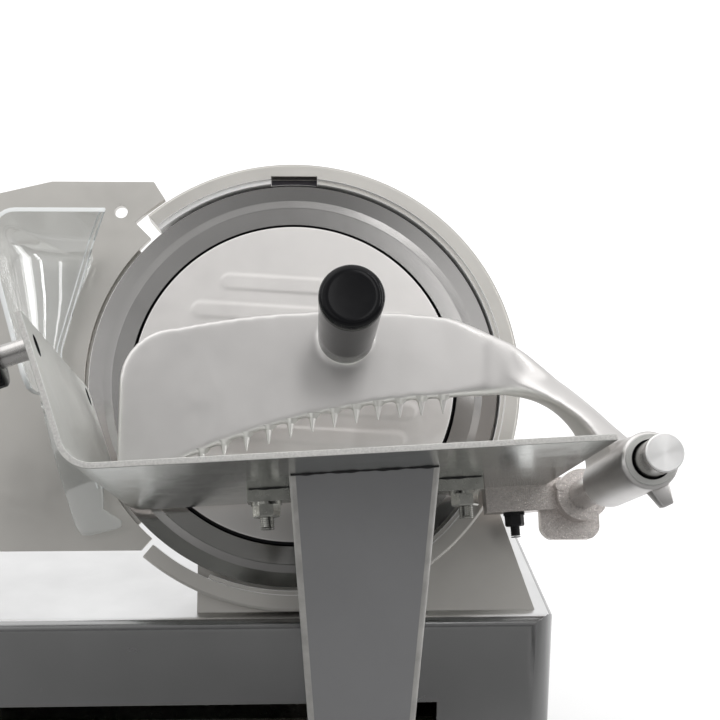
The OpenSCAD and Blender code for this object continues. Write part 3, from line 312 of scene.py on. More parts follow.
# Colour, roughness and further values of each finish. A word is one of the user's colours.
FINISHES = {
    "satin_casting": ("casting", 0.36, SATIN),
    "base_satin": ("base", 0.36, SATIN),
    "polished_side": ("base_side", 0.22, {"grain": 2200}),
    "pusher_satin": ("pusher", 0.36, {"grain": 2400, "depth": 0.04, "spread": 0.05}),
    "cover_satin": ("cover", 0.4, {"grain": 2600, "depth": 0.04}),
    "tray_sheet": ("tray", 0.36, {"grain": 3000, "depth": 0.05, "tone": 0.05}),
    "tray_under": ("tray_under", 0.2, {"grain": 3000}),
    "sheared_edge": ("sheared", 0.55, {
        "metallic": 0.6, "grain": 3200, "depth": 0.25, "tone": 0.14, "drift": 1100}),
    "arm_coat": ("arm", 0.5, {"metallic": 0.4, "grain": 2500, "depth": 0.06, "tone": 0.04}),
    "arm_bend": ("arm_bend", 0.45, {
        "metallic": 0.6, "grain": 2000, "depth": 0.15, "tone": 0.16, "drift": 90}),
    "milled_grey": ("milled", 0.3, {
        "grain": 2200, "depth": 0.4, "spread": 0.14, "tone": 0.14, "drift": 520, "lines": TRAY}),
    "turned_steel": ("steel", 0.24, {"grain": 3000, "rings": ROD, "density": 5000}),
    # The rod end's near-white steel is painted highlight: a brighter copy of the turned steel, with
    # its own anisotropic gloss.
    "turned_face": ((0.98, 0.97, 0.955), 0.34, {
        "depth": 0.0, "turned": True, "Anisotropic": 0.9}),
    "bright_steel": ("steel", 0.26, {"grain": 3000}),
    "blade_polish": ("blade", 0.17, {
        "grain": 3500, "depth": 0.01, "spread": 0.03, "tone": 0.03, "rings": BLADE,
        "density": 2600, "turned": True, "Anisotropic": 0.6, "Anisotropic Rotation": 0.25}),
    "zinc_plate": ("zinc", 0.24, {"grain": 2000, "depth": 0.08, "tone": 0.15, "drift": 120}),
    "black_oxide": ((0.02, 0.02, 0.022), 0.4, {"metallic": 0.6, "grain": 2000, "depth": 0.1}),
    "black_gloss": ("black", 0.14, {
        "metallic": 0.0, "grain": 1200, "depth": 0.01, "spread": 0.04,
        "Specular IOR Level": 0.16}),
    "black_satin": ("black", 0.4, {"metallic": 0.0, "grain": 2400, "depth": 0.15}),
    "foot_rubber": ("rubber", 0.75, {"metallic": 0.0, "depth": 0.3}),
    "motor_paint": ("motor", 0.5, {"metallic": 0.0, "grain": 1600, "depth": 0.2}),
    "bush_bronze": ((0.4, 0.24, 0.1), 0.35, {"grain": 2000, "depth": 0.08}),
    "slide_plastic": ((0.5, 0.5, 0.48), 0.4, {"metallic": 0.0, "depth": 0.05}),
    "dial_print": ((0.02, 0.02, 0.02), 0.55, {"metallic": 0.0, "grain": 2000, "depth": 0.02}),
    "knob_print": ((0.8, 0.8, 0.8), 0.5, {"metallic": 0.0}),
    "button_green": ((0.02, 0.2, 0.05), 0.2, GLOSS),
    "button_red": ((0.4, 0.012, 0.012), 0.2, GLOSS),
    "lamp_amber": ((0.8, 0.35, 0.03), 0.2, GLOSS),
    "clear_plastic": ((0.97, 0.985, 0.985), 0.03, {
        "metallic": 0.0, "grain": 500, "depth": 0.006, "spread": 0.015, "tone": 0.01,
        "Transmission Weight": 0.94, "IOR": 1.06, "Coat Weight": 1.0, "Coat IOR": 1.9,
        "Coat Roughness": 0.02}),
    # Milky edge finish: painted highlight for the guard's lit edges.
    "clear_edge": ((0.95, 0.97, 0.97), 0.12, {
        "metallic": 0.0, "grain": 500, "depth": 0.01, "spread": 0.04, "tone": 0.01,
        "Transmission Weight": 0.2, "IOR": 1.2}),
    "pale_edge": ((0.85, 0.84, 0.83), 0.5, {"metallic": 0.1, "grain": 2600, "depth": 0.08}),
    "dark_gap": ((0.05, 0.046, 0.054), 0.3, {"metallic": 0.5, "grain": 2000, "depth": 0.02}),
    "studio_paper": ("floor", 0.8, {"metallic": 0.0, "grain": 300, "depth": 0.02, "tone": 0.01}),
}


def finish(name, base, roughness, metallic=1.0, grain=1500.0, depth=0.03, spread=0.06, tone=0.06,
           drift=14.0, rings=None, lines=None, density=2500.0, turned=False, **sockets):
    """Material whose shade, roughness and bump follow the shared grain, rings and lines.

    rings and lines are places whose local Z or X axis the marks follow. A turned face spreads its
    gloss across the tool marks, which run along the first axis of its own map. Further values go
    to the shader's sockets."""
    material = bpy.data.materials.new(name)
    material.use_nodes = True
    tree = material.node_tree
    shader = tree.nodes["Principled BSDF"]
    coords = add(tree, "ShaderNodeTexCoord").outputs["Object"]
    grains = add(tree, "ShaderNodeGroup", node_tree=once(grain_group), Vector=coords, Scale=grain,
                 Drift=drift).outputs
    share = ramp(tree, grains["Shade"], *NOISE_RANGE, 0.0, 1.0, "LINEAR")
    mix = add(tree, "ShaderNodeMix", share, data_type="RGBA")
    mix.inputs[6].default_value = (*[c * (1 - tone) for c in base], 1)
    mix.inputs[7].default_value = (*[min(1, c * (1 + tone)) for c in base], 1)
    rough = ramp(tree, grains["Smudge"], *NOISE_RANGE, max(0.02, roughness - spread),
                 roughness + spread, "LINEAR")
    bump = add(tree, "ShaderNodeBump", Distance=BUMP, Strength=depth, Height=grains["Height"])
    for place, build in ((rings, rings_group), (lines, lines_group)):
        if place is None:
            continue
        turn = add(tree, "ShaderNodeMapping", vector_type="TEXTURE", Vector=coords,
                   Location=place.translation, Rotation=place.to_euler())
        marks = add(tree, "ShaderNodeGroup", node_tree=once(build),
                    Vector=turn.outputs["Vector"], Density=density)
        bump = add(tree, "ShaderNodeBump", Distance=BUMP, Strength=depth * 2,
                   Height=marks.outputs["Height"], Normal=bump.outputs["Normal"])
    sockets.update({"Metallic": metallic, "Base Color": mix.outputs[2], "Roughness": rough,
                    "Normal": bump.outputs["Normal"]})
    if turned:
        along = add(tree, "ShaderNodeTangent", direction_type="UV_MAP", uv_map=TURN_MAP)
        sockets["Tangent"] = along.outputs["Tangent"]
    for label, value in sockets.items():
        put(tree, shader.inputs[label], value)
    return material


def look(name):
    """The finish of that name, made when it is first asked for."""
    if name not in BUILT:
        base, roughness, values = FINISHES[name]
        if isinstance(base, str):
            base = getattr(colours(), base)
        BUILT[name] = finish(name, base, roughness, **values)
    return BUILT[name]


# Mesh tools

# Angles in degrees: where shading breaks, what counts as one flat face, which edges get round.
SHARP = 32.0
FLAT = 0.6
EDGE = 38.0
# Distance in millimetres at which points are one, and the turning map's share of a millimetre.
WELD = 0.001
MAP_SCALE = 0.01
EIGHTHS = [math.radians(45 * k) for k in range(8)]


def link_object(name, data):
    obj = bpy.data.objects.new(name, data)
    bpy.context.scene.collection.objects.link(obj)
    return obj


def bare(name, bm):
    """Plain object from a bmesh."""
    mesh = bpy.data.meshes.new(name)
    bm.to_mesh(mesh)
    bm.free()
    return link_object(name, mesh)


def placed(bm, place):
    """Takes a bmesh from a place's millimetres to the frame's metres."""
    bmesh.ops.transform(bm, matrix=place @ Matrix.Scale(MM, 4), verts=bm.verts)


def evaluated_mesh(obj):
    depsgraph = bpy.context.evaluated_depsgraph_get()
    return bpy.data.meshes.new_from_object(obj.evaluated_get(depsgraph))


def settled(obj):
    """Applies an object's modifiers and gives it the result as a plain mesh."""
    mesh = evaluated_mesh(obj)
    old = obj.data
    obj.modifiers.clear()
    obj.data = mesh
    bpy.data.meshes.remove(old)


def shade(mesh, angle=SHARP):
    mesh.polygons.foreach_set("use_smooth", [True] * len(mesh.polygons))
    mesh.set_sharp_from_angle(angle=math.radians(angle))


def mount(obj, paint, body, *nodes, slot=None, angle=SHARP):
    """Gives a finished piece its finish, body and CAD nodes; slot is not used."""
    if paint is not None:
        obj.data.materials.clear()
        obj.data.materials.append(look(paint))
    if angle is not None:
        shade(obj.data, angle)
    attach(obj, body)
    if nodes:
        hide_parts(*nodes)
    return obj


def piece(name, bm, place, paint, body, *nodes, slot=None, angle=SHARP):
    """Turns a bmesh in a place's millimetres into a finished piece."""
    bmesh.ops.remove_doubles(bm, verts=bm.verts, dist=WELD)
    bmesh.ops.recalc_face_normals(bm, faces=bm.faces)
    placed(bm, place)
    return mount(bare(name, bm), paint, body, *nodes, slot=slot, angle=angle)


def lathe(bm, profile, steps):
    """Turns a closed profile of radius and height about local Z, with a map along the turning."""
    turn_map = bm.loops.layers.uv.new(TURN_MAP)
    rings = []
    for radius, height in profile:
        count = steps if radius > 0 else 1
        rings.append((radius, [bm.verts.new((*polar(radius, 2 * math.pi * i / steps), height))
                               for i in range(count)]))
    for (r0, a), (r1, b) in zip(rings, rings[1:] + rings[:1]):
        for i in range(steps):
            j = (i + 1) % steps
            marks = {a[i % len(a)]: (i, r0), a[j % len(a)]: (i + 1, r0),
                     b[j % len(b)]: (i + 1, r1), b[i % len(b)]: (i, r1)}
            if len(marks) < 3:
                continue
            for loop in bm.faces.new(list(marks)).loops:
                step, radius = marks[loop.vert]
                loop[turn_map].uv = (step / steps, radius * MAP_SCALE)


def turned_piece(name, profile, steps, place, paint, body, *nodes, slot=None, angle=SHARP):
    """Finished piece that is a closed profile turned about a place's Z axis."""
    bm = bmesh.new()
    lathe(bm, profile, steps)
    return piece(name, bm, place, paint, body, *nodes, slot=slot, angle=angle)


def eased(points, radius, steps=4, closed=True):
    """The same outline with its corners rounded."""
    out = []
    count = len(points)
    for i, p in enumerate(points):
        p = Vector(p)
        if not closed and i in (0, count - 1):
            out.append(tuple(p))
            continue
        before = Vector(points[i - 1]) - p
        after = Vector(points[(i + 1) % count]) - p
        cut = min(radius, before.length * 0.45, after.length * 0.45)
        a = p + before.normalized() * cut
        b = p + after.normalized() * cut
        for k in range(steps + 1):
            t = k / steps
            out.append(tuple((1 - t) ** 2 * a + 2 * t * (1 - t) * p + t * t * b))
    return out


def slab(bm, outline, low, high):
    """Extrudes an outline in the local XY plane between two heights."""
    bottom = [bm.verts.new((x, y, low)) for x, y in outline]
    top = [bm.verts.new((x, y, high)) for x, y in outline]
    bm.faces.new(bottom[::-1])
    bm.faces.new(top)
    for i in range(len(outline)):
        j = (i + 1) % len(outline)
        bm.faces.new((bottom[i], bottom[j], top[j], top[i]))


def tube(bm, rings):
    """Skin with closed ends over a row of rings."""
    for a, b in zip(rings, rings[1:]):
        for k in range(len(a)):
            bm.faces.new((a[k], a[k - 1], b[k - 1], b[k]))
    bm.faces.new(rings[0])
    bm.faces.new(rings[-1])


def merged(node):
    """Copy of a CAD node's mesh with its triangles joined into whole faces."""
    bm = bmesh.new()
    bm.from_mesh(NODES[node].data)
    bmesh.ops.remove_doubles(bm, verts=bm.verts, dist=WELD * MM)
    bmesh.ops.dissolve_limit(
        bm, angle_limit=math.radians(FLAT), verts=bm.verts, edges=bm.edges)
    return bm


def rounded(obj, width, segments, angle):
    """Rounds the edges that are sharper than an angle."""
    bevel = obj.modifiers.new("Round", "BEVEL")
    bevel.width = width
    bevel.segments = segments
    bevel.limit_method = "ANGLE"
    bevel.angle_limit = math.radians(angle)


def softened(node, paint, width, segments=2, extra=(), pick=None, bend_test=None, bend=0.0):
    """Copy of a CAD node with its sharp edges rounded and its flat faces shaded flat.

    pick gives a face the number of its finish among the extra ones. Edges that pass bend_test
    become bends of the first extra finish."""
    bm = merged(node)
    if bend_test is not None:
        bent = [e for e in bm.edges if bend_test(e)]
        bmesh.ops.bevel(bm, geom=bent, offset=bend, segments=6, profile=0.5, affect="EDGES",
                        material=1)
    obj = bare(node + "_soft", bm)
    for name in (paint, *extra):
        obj.data.materials.append(look(name))
    for face in obj.data.polygons:
        face.use_smooth = True
        if pick is not None:
            face.material_index = pick(face)
    rounded(obj, width, segments, EDGE)
    obj.modifiers.new("Flat faces", "WEIGHTED_NORMAL")
    settled(obj)
    return mount(obj, None, NODES[node]["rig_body"], node, angle=None)


def tinted(obj, paint, place, test, most=1.0):
    """Gives one more finish to the faces whose middle, in a place's millimetres, passes a test.

    most is the largest area, in square metres, of such a face."""
    obj.data.materials.append(look(paint))
    back = place.inverted()
    for face in obj.data.polygons:
        if face.area < most and test(back @ face.center / MM):
            face.material_index = len(obj.data.materials) - 1


# Geometry node trees

def geometry_tree(name, *labels):
    return new_tree(name, "GeometryNodeTree", ("Geometry", *labels, "Material"), ("Geometry",))


def end_tree(tree, enter, leave, shape):
    """Places a shape on every point, realizes the copies and gives them the material."""
    copies = add(tree, "GeometryNodeInstanceOnPoints", Points=enter.outputs["Geometry"],
                 Instance=shape)
    real = add(tree, "GeometryNodeRealizeInstances", Geometry=copies.outputs["Instances"])
    paint = add(tree, "GeometryNodeSetMaterial", Geometry=real.outputs["Geometry"],
                Material=enter.outputs["Material"])
    put(tree, leave.inputs["Geometry"], paint.outputs["Geometry"])
    return tree


def drum(tree, radius, depth, lift, vertices, tip=None):
    """Cylinder, or cone with another radius at its tip, lifted along Z."""
    cone = add(tree, "GeometryNodeMeshCone", Vertices=vertices, Radius_Bottom=radius,
               Radius_Top=radius if tip is None else tip, Depth=depth)
    step = add(tree, "ShaderNodeCombineXYZ", Z=lift)
    move = add(tree, "GeometryNodeTransform", Geometry=cone.outputs["Mesh"],
               Translation=step.outputs["Vector"])
    return move.outputs["Geometry"]


def joined(tree, *shapes):
    node = add(tree, "GeometryNodeJoinGeometry")
    for shape in shapes:
        tree.links.new(shape, node.inputs["Geometry"])
    return node.outputs["Geometry"]


def tooth_tree():
    """Blunt spikes, each with a flare at its root."""
    tree, enter, leave = geometry_tree("Pusher teeth", "Length", "Radius", "Flare")
    size = enter.outputs
    point, flare_height, neck = 0.4 * MM, 2.6 * MM, 2.2 * MM
    spike = drum(tree, size["Radius"], size["Length"], 0.0, 20, tip=point)
    flare = drum(tree, size["Flare"], flare_height, 0.0, 20, tip=neck)
    return end_tree(tree, enter, leave, joined(tree, spike, flare))


def nut_tree():
    """Threaded studs, each with a washer and a chamfered nut."""
    tree, enter, leave = geometry_tree(
        "Stud, washer and nut", "Stud Radius", "Stud Length", "Nut Radius", "Nut Height",
        "Washer Radius", "Washer Height")
    size = enter.outputs
    chamfer_height, chamfer_share = 0.8 * MM, 0.89
    thread_count, pitch, crest_share = 14, 1.05 * MM, 1.12
    thread_height = 0.5 * MM
    washer = drum(tree, size["Washer Radius"], size["Washer Height"], 0.0, 40)
    nut = drum(tree, size["Nut Radius"], size["Nut Height"], size["Washer Height"], 6)
    top = add(tree, "ShaderNodeMath", size["Washer Height"], size["Nut Height"], operation="ADD")
    chamfer = drum(tree, size["Nut Radius"], chamfer_height, top.outputs[0], 6,
                   tip=times(tree, size["Nut Radius"], chamfer_share))
    stud = drum(tree, size["Stud Radius"], size["Stud Length"], 0.0, 24)
    turns = add(tree, "GeometryNodeMeshLine", mode="OFFSET", Count=thread_count,
                Start_Location=(0, 0, thread_height), Offset=(0, 0, pitch))
    crest = times(tree, size["Stud Radius"], crest_share)
    thread = drum(tree, crest, thread_height, 0.0, 24, tip=size["Stud Radius"])
    threads = add(tree, "GeometryNodeInstanceOnPoints", Points=turns.outputs["Mesh"],
                  Instance=thread)
    shape = joined(tree, washer, nut, chamfer, stud, threads.outputs["Instances"])
    return end_tree(tree, enter, leave, shape)


def socket_tree():
    """Screw heads with a sunk hexagon."""
    tree, enter, leave = geometry_tree(
        "Socket head screws", "Head Radius", "Head Height", "Key Radius")
    size = enter.outputs
    head = drum(tree, size["Head Radius"], size["Head Height"], 0.0, 32)
    half = times(tree, size["Head Height"], 0.5)
    key = drum(tree, size["Key Radius"], size["Head Height"], half, 6)
    cut = add(tree, "GeometryNodeMeshBoolean", operation="DIFFERENCE", Mesh_1=head, Mesh_2=key)
    return end_tree(tree, enter, leave, cut.outputs["Mesh"])


def rib_tree():
    """Blocks round a circle, each turned outwards."""
    tree, enter, leave = geometry_tree("Ring of ribs", "Count", "Radius", "Size")
    size = enter.outputs
    circle = add(tree, "GeometryNodeMeshCircle", Vertices=size["Count"], Radius=size["Radius"])
    block = add(tree, "GeometryNodeMeshCube", Size=size["Size"])
    at = add(tree, "GeometryNodeInputPosition")
    aim = add(tree, "FunctionNodeAlignRotationToVector", axis="X", Vector=at.outputs["Position"])
    ribs = add(tree, "GeometryNodeInstanceOnPoints", Points=circle.outputs["Mesh"],
               Instance=block.outputs["Mesh"], Rotation=aim.outputs["Rotation"])
    return end_tree(tree, enter, leave, ribs.outputs["Instances"])


def repeated(name, build, points, place, paint, body, *nodes, slot=None, **values):
    """Runs a tree on points in a place's millimetres and mounts the result as one piece.

    values are the tree's own inputs, lengths in metres, with underscores for spaces."""
    tree = once(build)
    mesh = bpy.data.meshes.new(name)
    mesh.from_pydata([Vector(p) * MM for p in points], [], [])
    obj = link_object(name, mesh)
    modifier = obj.modifiers.new("Grow", "NODES")
    modifier.node_group = tree
    keys = {item.name: item.identifier for item in tree.interface.items_tree
            if item.item_type == "SOCKET" and item.in_out == "INPUT"}
    modifier[keys["Material"]] = look(paint)
    for label, value in values.items():
        modifier[keys[label.replace("_", " ")]] = value
    settled(obj)
    obj.data.transform(place)
    return mount(obj, None, body, *nodes, slot=slot)


# Operators

class Step(bpy.types.Operator):
    bl_options = {"REGISTER", "UNDO"}


class SLICER_OT_stage(Step):
    """Pale studio floor with a curved back, soft lights and the photograph's camera"""

    bl_idname = "slicer.stage"
    bl_label = "Studio and camera"

    # The photograph's camera: lens and sensor in millimetres, place in metres, turn in degrees.
    lens = 65.0
    sensor = 36.0
    camera_at = (0.06453, -0.75289, 0.41728)
    camera_turn = (76.978, -0.513, -2.493)
    # Radius of the backdrop's curve and the backdrop's place along Y, in metres.
    rise = 1.2
    back = 2.2
    # Glow of the paper along Y in reflections and for the camera: start, stop, low and high.
    glow_reflected = (-0.15, 0.12, 0.0, 0.78)
    glow_seen = (-0.3, 0.5, 0.55, 0.9)
    # Strength of the air along an axis of its direction: axis, start, stop, low and high.
    air_ramps = (("Z", -0.05, 0.42, 0.12, 0.66), ("Y", -1.0, 0.3, 0.75, 1.0),
                 ("X", -0.35, -0.08, 1.8, 0.95), ("X", -0.1, 0.15, 0.97, 1.15))
    air_seen = 0.9
    # Direction of the dark spot that low polished faces show, and the air's share across it.
    shadow_side = (0.02, -0.88, 0.44)
    shadow_ramp = (0.06, 0.23, 0.3, 1.0)
    # Name, place, aim and size in metres, and power in watts.
    lamps = (
        ("top_softbox", (0.05, -0.1, 1.6), (0.05, 0.0, 0.2), (2.0, 1.4), 7),
        ("left_strip", (-1.09, -0.66, 0.93), (-0.1, -0.1, 0.29), (0.1, 1.1), 1.5),
        ("right_strip", (0.75, -0.71, 1.05), (-0.09, 0.03, 0.29), (0.05, 1.0), 1.4),
        ("front_softbox", (0.24, -1.08, 1.15), (0.1, 0.0, 0.27), (0.12, 0.5), 0.45),
        ("right_softbox", (1.4, -0.3, 0.8), (0.1, 0.0, 0.25), (0.5, 1.1), 6),
    )

    def execute(self, context):
        self.sweep()
        self.air()
        for lamp in self.lamps:
            self.area(*lamp)
        self.camera(context)
        return {"FINISHED"}

    def sweep(self):
        half, rise, back = sizes().floor_size, self.rise, self.back
        path = [(-half, 0.0), (back - rise, 0.0)]
        path += [(back - rise + rise * math.sin(a), rise - rise * math.cos(a))
                 for a in [math.radians(6 * k) for k in range(1, 16)]]
        path += [(back, half)]
        verts = [(x, y, z) for y, z in path for x in (-half, half)]
        faces = [(2 * i, 2 * i + 1, 2 * i + 3, 2 * i + 2) for i in range(len(path) - 1)]
        mesh = bpy.data.meshes.new("studio_sweep")
        mesh.from_pydata(verts, [], faces)
        obj = link_object("studio_sweep", mesh)
        mesh.materials.append(self.paper())
        shade(mesh)

    def paper(self):
        """Paper that glows behind the object, as a lit backdrop does, and less in reflections."""
        material = look("studio_paper")
        tree = material.node_tree
        shader = tree.nodes["Principled BSDF"]
        coords = add(tree, "ShaderNodeTexCoord").outputs["Object"]
        depth = add(tree, "ShaderNodeSeparateXYZ", coords).outputs["Y"]
        path = add(tree, "ShaderNodeLightPath").outputs
        seen = add(tree, "ShaderNodeMath", path["Is Camera Ray"], path["Is Transmission Ray"],
                   operation="MAXIMUM")
        glow = add(tree, "ShaderNodeMix", seen.outputs[0], None,
                   ramp(tree, depth, *self.glow_reflected), ramp(tree, depth, *self.glow_seen),
                   data_type="FLOAT")
        put(tree, shader.inputs["Emission Color"], glow.outputs[0])
        put(tree, shader.inputs["Emission Strength"], 1.0)
        return material

    def area(self, name, at, aim, size, power):
        data = bpy.data.lights.new(name, "AREA")
        data.shape = "RECTANGLE"
        data.size, data.size_y = size
        data.energy = power
        light = link_object(name, data)
        light.location = at
        light.rotation_euler = (Vector(aim) - Vector(at)).to_track_quat("-Z", "Y").to_euler()

    def air(self):
        """Dim air towards the camera and bright air overhead for polished faces to show."""
        world = bpy.data.worlds.new("studio_air")
        world.use_nodes = True
        tree = world.node_tree
        back = tree.nodes["Background"]
        sky = add(tree, "ShaderNodeTexCoord").outputs["Generated"]
        split = add(tree, "ShaderNodeSeparateXYZ", sky).outputs
        near = add(tree, "ShaderNodeVectorMath", sky, self.shadow_side, operation="DISTANCE")
        strength = ramp(tree, near.outputs["Value"], *self.shadow_ramp)
        for axis, *limits in self.air_ramps:
            strength = times(tree, strength, ramp(tree, split[axis], *limits))
        path = add(tree, "ShaderNodeLightPath").outputs
        seen = add(tree, "ShaderNodeMix", path["Is Camera Ray"], None, strength, self.air_seen,
                   data_type="FLOAT")
        put(tree, back.inputs["Strength"], seen.outputs[0])
        put(tree, back.inputs["Color"], (1, 1, 1, 1))
        bpy.context.scene.world = world

    def camera(self, context):
        data = bpy.data.cameras.new("photo_camera")
        data.lens = self.lens
        data.sensor_width = self.sensor
        camera = link_object("photo_camera", data)
        camera.location = self.camera_at
        camera.rotation_euler = [math.radians(a) for a in self.camera_turn]
        context.scene.camera = camera
        context.scene.view_settings.view_transform = "Standard"


class SLICER_OT_castings(Step):
    """Castings, plates and plain solids with rounded edges"""

    bl_idname = "slicer.castings"
    bl_label = "Castings and plates"

    # Faces of the base whose normal has a smaller Z part than this are its polished sides, darkened
    # as painted shade.
    side_slope = 0.9
    # Outer radius of the ring's lip, painted pale as painted light in the gap, and the largest area
    # of its faces in square metres.
    lip_radius = 130.2
    lip_area = 2e-4
    # The notch in the ring, darkened as painted shade: its middle, half width, outer radius and
    # deepest point.
    notch_at, notch_half, notch_radius, notch_back = 1.5, 13.0, 129.8, -3.0
    # The lip behind the gauge plate: radii, first and last angle, thickness.
    plate_lip = (121.5, 131.0)
    plate_lip_angles = (139.0, 223.0)
    plate_lip_wall = 2.5
    # Finishes of the solids that need only their edges rounded.
    solids = (
        ("milled_grey", ("gauge_bracket", "slide_lugs", "carriage_slider", "support_rail")),
        ("bright_steel", ("spindle", "guide_rod", "gauge_shaft", "tie_rod", "index_shaft",
                          "motor_shaft", "gauge_pin", "blade_bearings", "blade_pulley",
                          "motor_pulley", "index_cam")),
        ("zinc_plate", ("base_plate", "spindle_nut", "housing_bolts", "motor_screws",
                        "blade_screws", "arm_screws")),
    )

    def execute(self, context):
        cast, sheet = sizes().cast_round, sizes().sheet_round
        # The base's sides get a darker finish as painted shade.
        softened("base_casting", "base_satin", 2 * cast, 3, ["polished_side"],
                 lambda face: int(abs(face.normal.z) < self.side_slope))
        softened("blade_housing", "satin_casting", 2.5 * cast, 3)
        softened("motor_cover", "satin_casting", cast)
        ring = softened("ring_guard", "satin_casting", sheet)
        # The ring's inner lip is painted pale as painted light, so the gap to the blade reads lit.
        tinted(ring, "pale_edge", BLADE, lambda p: p.xy.length < self.lip_radius, self.lip_area)
        # The notch at the ring's top is darkened as painted shade.
        tinted(ring, "dark_gap", BLADE, self.in_notch)
        softened("gauge_plate", "satin_casting", sheet)
        self.gauge_lip()
        softened("slice_deflector", "satin_casting", sheet)
        for paint, nodes in self.solids:
            for node in nodes:
                softened(node, paint, sheet)
        softened("motor_body", "motor_paint", cast)
        softened("slider_bushes", "bush_bronze", sheet)
        softened("drive_belt", "foot_rubber", sheet / 2)
        return {"FINISHED"}

    def in_notch(self, p):
        near = abs(p.x - self.notch_at) < self.notch_half and p.y > 0
        return near and p.xy.length < self.notch_radius and p.z > self.notch_back

    def gauge_lip(self):
        """Lip behind the gauge plate's round edge that closes the gap to the blade."""
        back = span("gauge_plate", BLADE)[0].z
        inner, outer = self.plate_lip
        first, last = self.plate_lip_angles
        arc = [math.radians(first + (last - first) * k / 64) for k in range(65)]
        outline = [polar(outer, a) for a in arc] + [polar(inner, a) for a in reversed(arc)]
        bm = bmesh.new()
        slab(bm, outline, back - self.plate_lip_wall, back)
        piece("gauge_lip", bm, BLADE, "satin_casting", "gauge", slot="anodised")


class SLICER_OT_blade(Step):
    """Polished blade and the ribbed cover in its dish"""

    bl_idname = "slicer.blade"
    bl_label = "Blade and cover"

    # Turn of the cover's ribs in degrees. In millimetres, the middle rib's distance from the
    # cover's middle, the ribs' distance from its edge, how far a rib's sloped side reaches past
    # the rib's width and how wide it is. Then the steps of the cover's mesh round and across.
    rib_turn = 3.5
    rib_middle = 4.0
    rib_margin = 20.5
    rib_ease = 0.6
    rib_slope = 2.0
    cover_steps = 288
    cover_rings = 110

    def execute(self, context):
        self.blade()
        self.cover()
        return {"FINISHED"}

    def blade(self):
        low, high = span("blade", BLADE)
        edge, back = high.x, low.z
        rim = span("blade_cover", BLADE)[1].x + 1.2
        hub = 20.5
        dish = back + 3.0
        profile = [(hub, back), (rim + 0.3, back), (edge - 12, back + 3.3), (edge - 0.4, -0.5),
                   (edge, 0), (edge - 0.25, -0.05), (edge - 8.6, -2.5), (edge - 8.9, -2.5),
                   (edge - 13.2, -2.35), (edge - 13.6, -2.45), (rim + 1.1, -3.1),
                   (rim + 0.9, -3.4), (rim, -4.6), (rim, dish), (hub, dish)]
        disc = turned_piece("blade_polished", profile, 256, BLADE, "blade_polish", "blade_rotor",
                            "blade", angle=4)
        # The dish and its wall behind the cover's gap are blackened as painted shade.
        tinted(disc, "black_oxide", BLADE,
               lambda p: p.xy.length < rim + 0.95 and p.z > back + 0.1)

    def rib_height(self, u, v, reach):
        """Height of the pressed ribs at a point of the cover, in millimetres."""
        s = sizes()
        pitch, half, tall = s.rib_pitch / MM, s.rib_width / MM / 2, s.rib_height / MM
        best = 0.0
        turn = math.radians(self.rib_turn)
        along = u * math.cos(turn) - v * math.sin(turn)
        across = u * math.sin(turn) + v * math.cos(turn)
        for k in range(-3, 4):
            line = self.rib_middle + k * pitch
            end = math.sqrt(reach * reach - line * line) - half
            away = math.hypot(max(abs(along) - end, 0), across - line)
            t = min(1.0, max(0.0, (half + self.rib_ease - away) / self.rib_slope))
            best = max(best, tall * t * t * (3 - 2 * t))
        return best

    def cover(self):
        low, high = span("blade_cover", BLADE)
        radius, back = high.x, -low.z
        steps, rings = self.cover_steps, self.cover_rings
        reach = radius - self.rib_margin
        angles = [2 * math.pi * k / steps for k in range(steps)]
        bm = bmesh.new()
        rows = [[bm.verts.new((0, 0, self.rib_height(0, 0, reach)))]]
        for i in range(1, rings + 1):
            around = [polar((radius - 0.25) * i / rings, a) for a in angles]
            rows.append([bm.verts.new((u, v, self.rib_height(u, v, reach))) for u, v in around])
        skirt = [(radius - 0.06, -0.08), (radius, -0.3), (radius, -5.4), (radius - 2.9, -5.4),
                 (radius - 3, -2.1), (20, -2.1), (9, -2.4), (9, -back), (5.1, -back), (5.1, -3)]
        for r, w in skirt:
            rows.append([bm.verts.new((*polar(r, a), w)) for a in angles])
        rows.append([bm.verts.new((0, 0, -3))])
        for a, b in zip(rows, rows[1:]):
            for i in range(steps):
                j = (i + 1) % steps
                corners = (a[i % len(a)], a[j % len(a)], b[j % len(b)], b[i % len(b)])
                bm.faces.new(list(dict.fromkeys(corners)))
        lid = piece("ribbed_cover", bm, BLADE, "cover_satin", "frame", "blade_cover", angle=40)
        # The skirt and the top's outer edge are blackened as painted shade in the gap round the
        # blade.
        tinted(lid, "black_satin", BLADE, lambda p: p.xy.length > radius - 3.5 and p.z < -0.02)


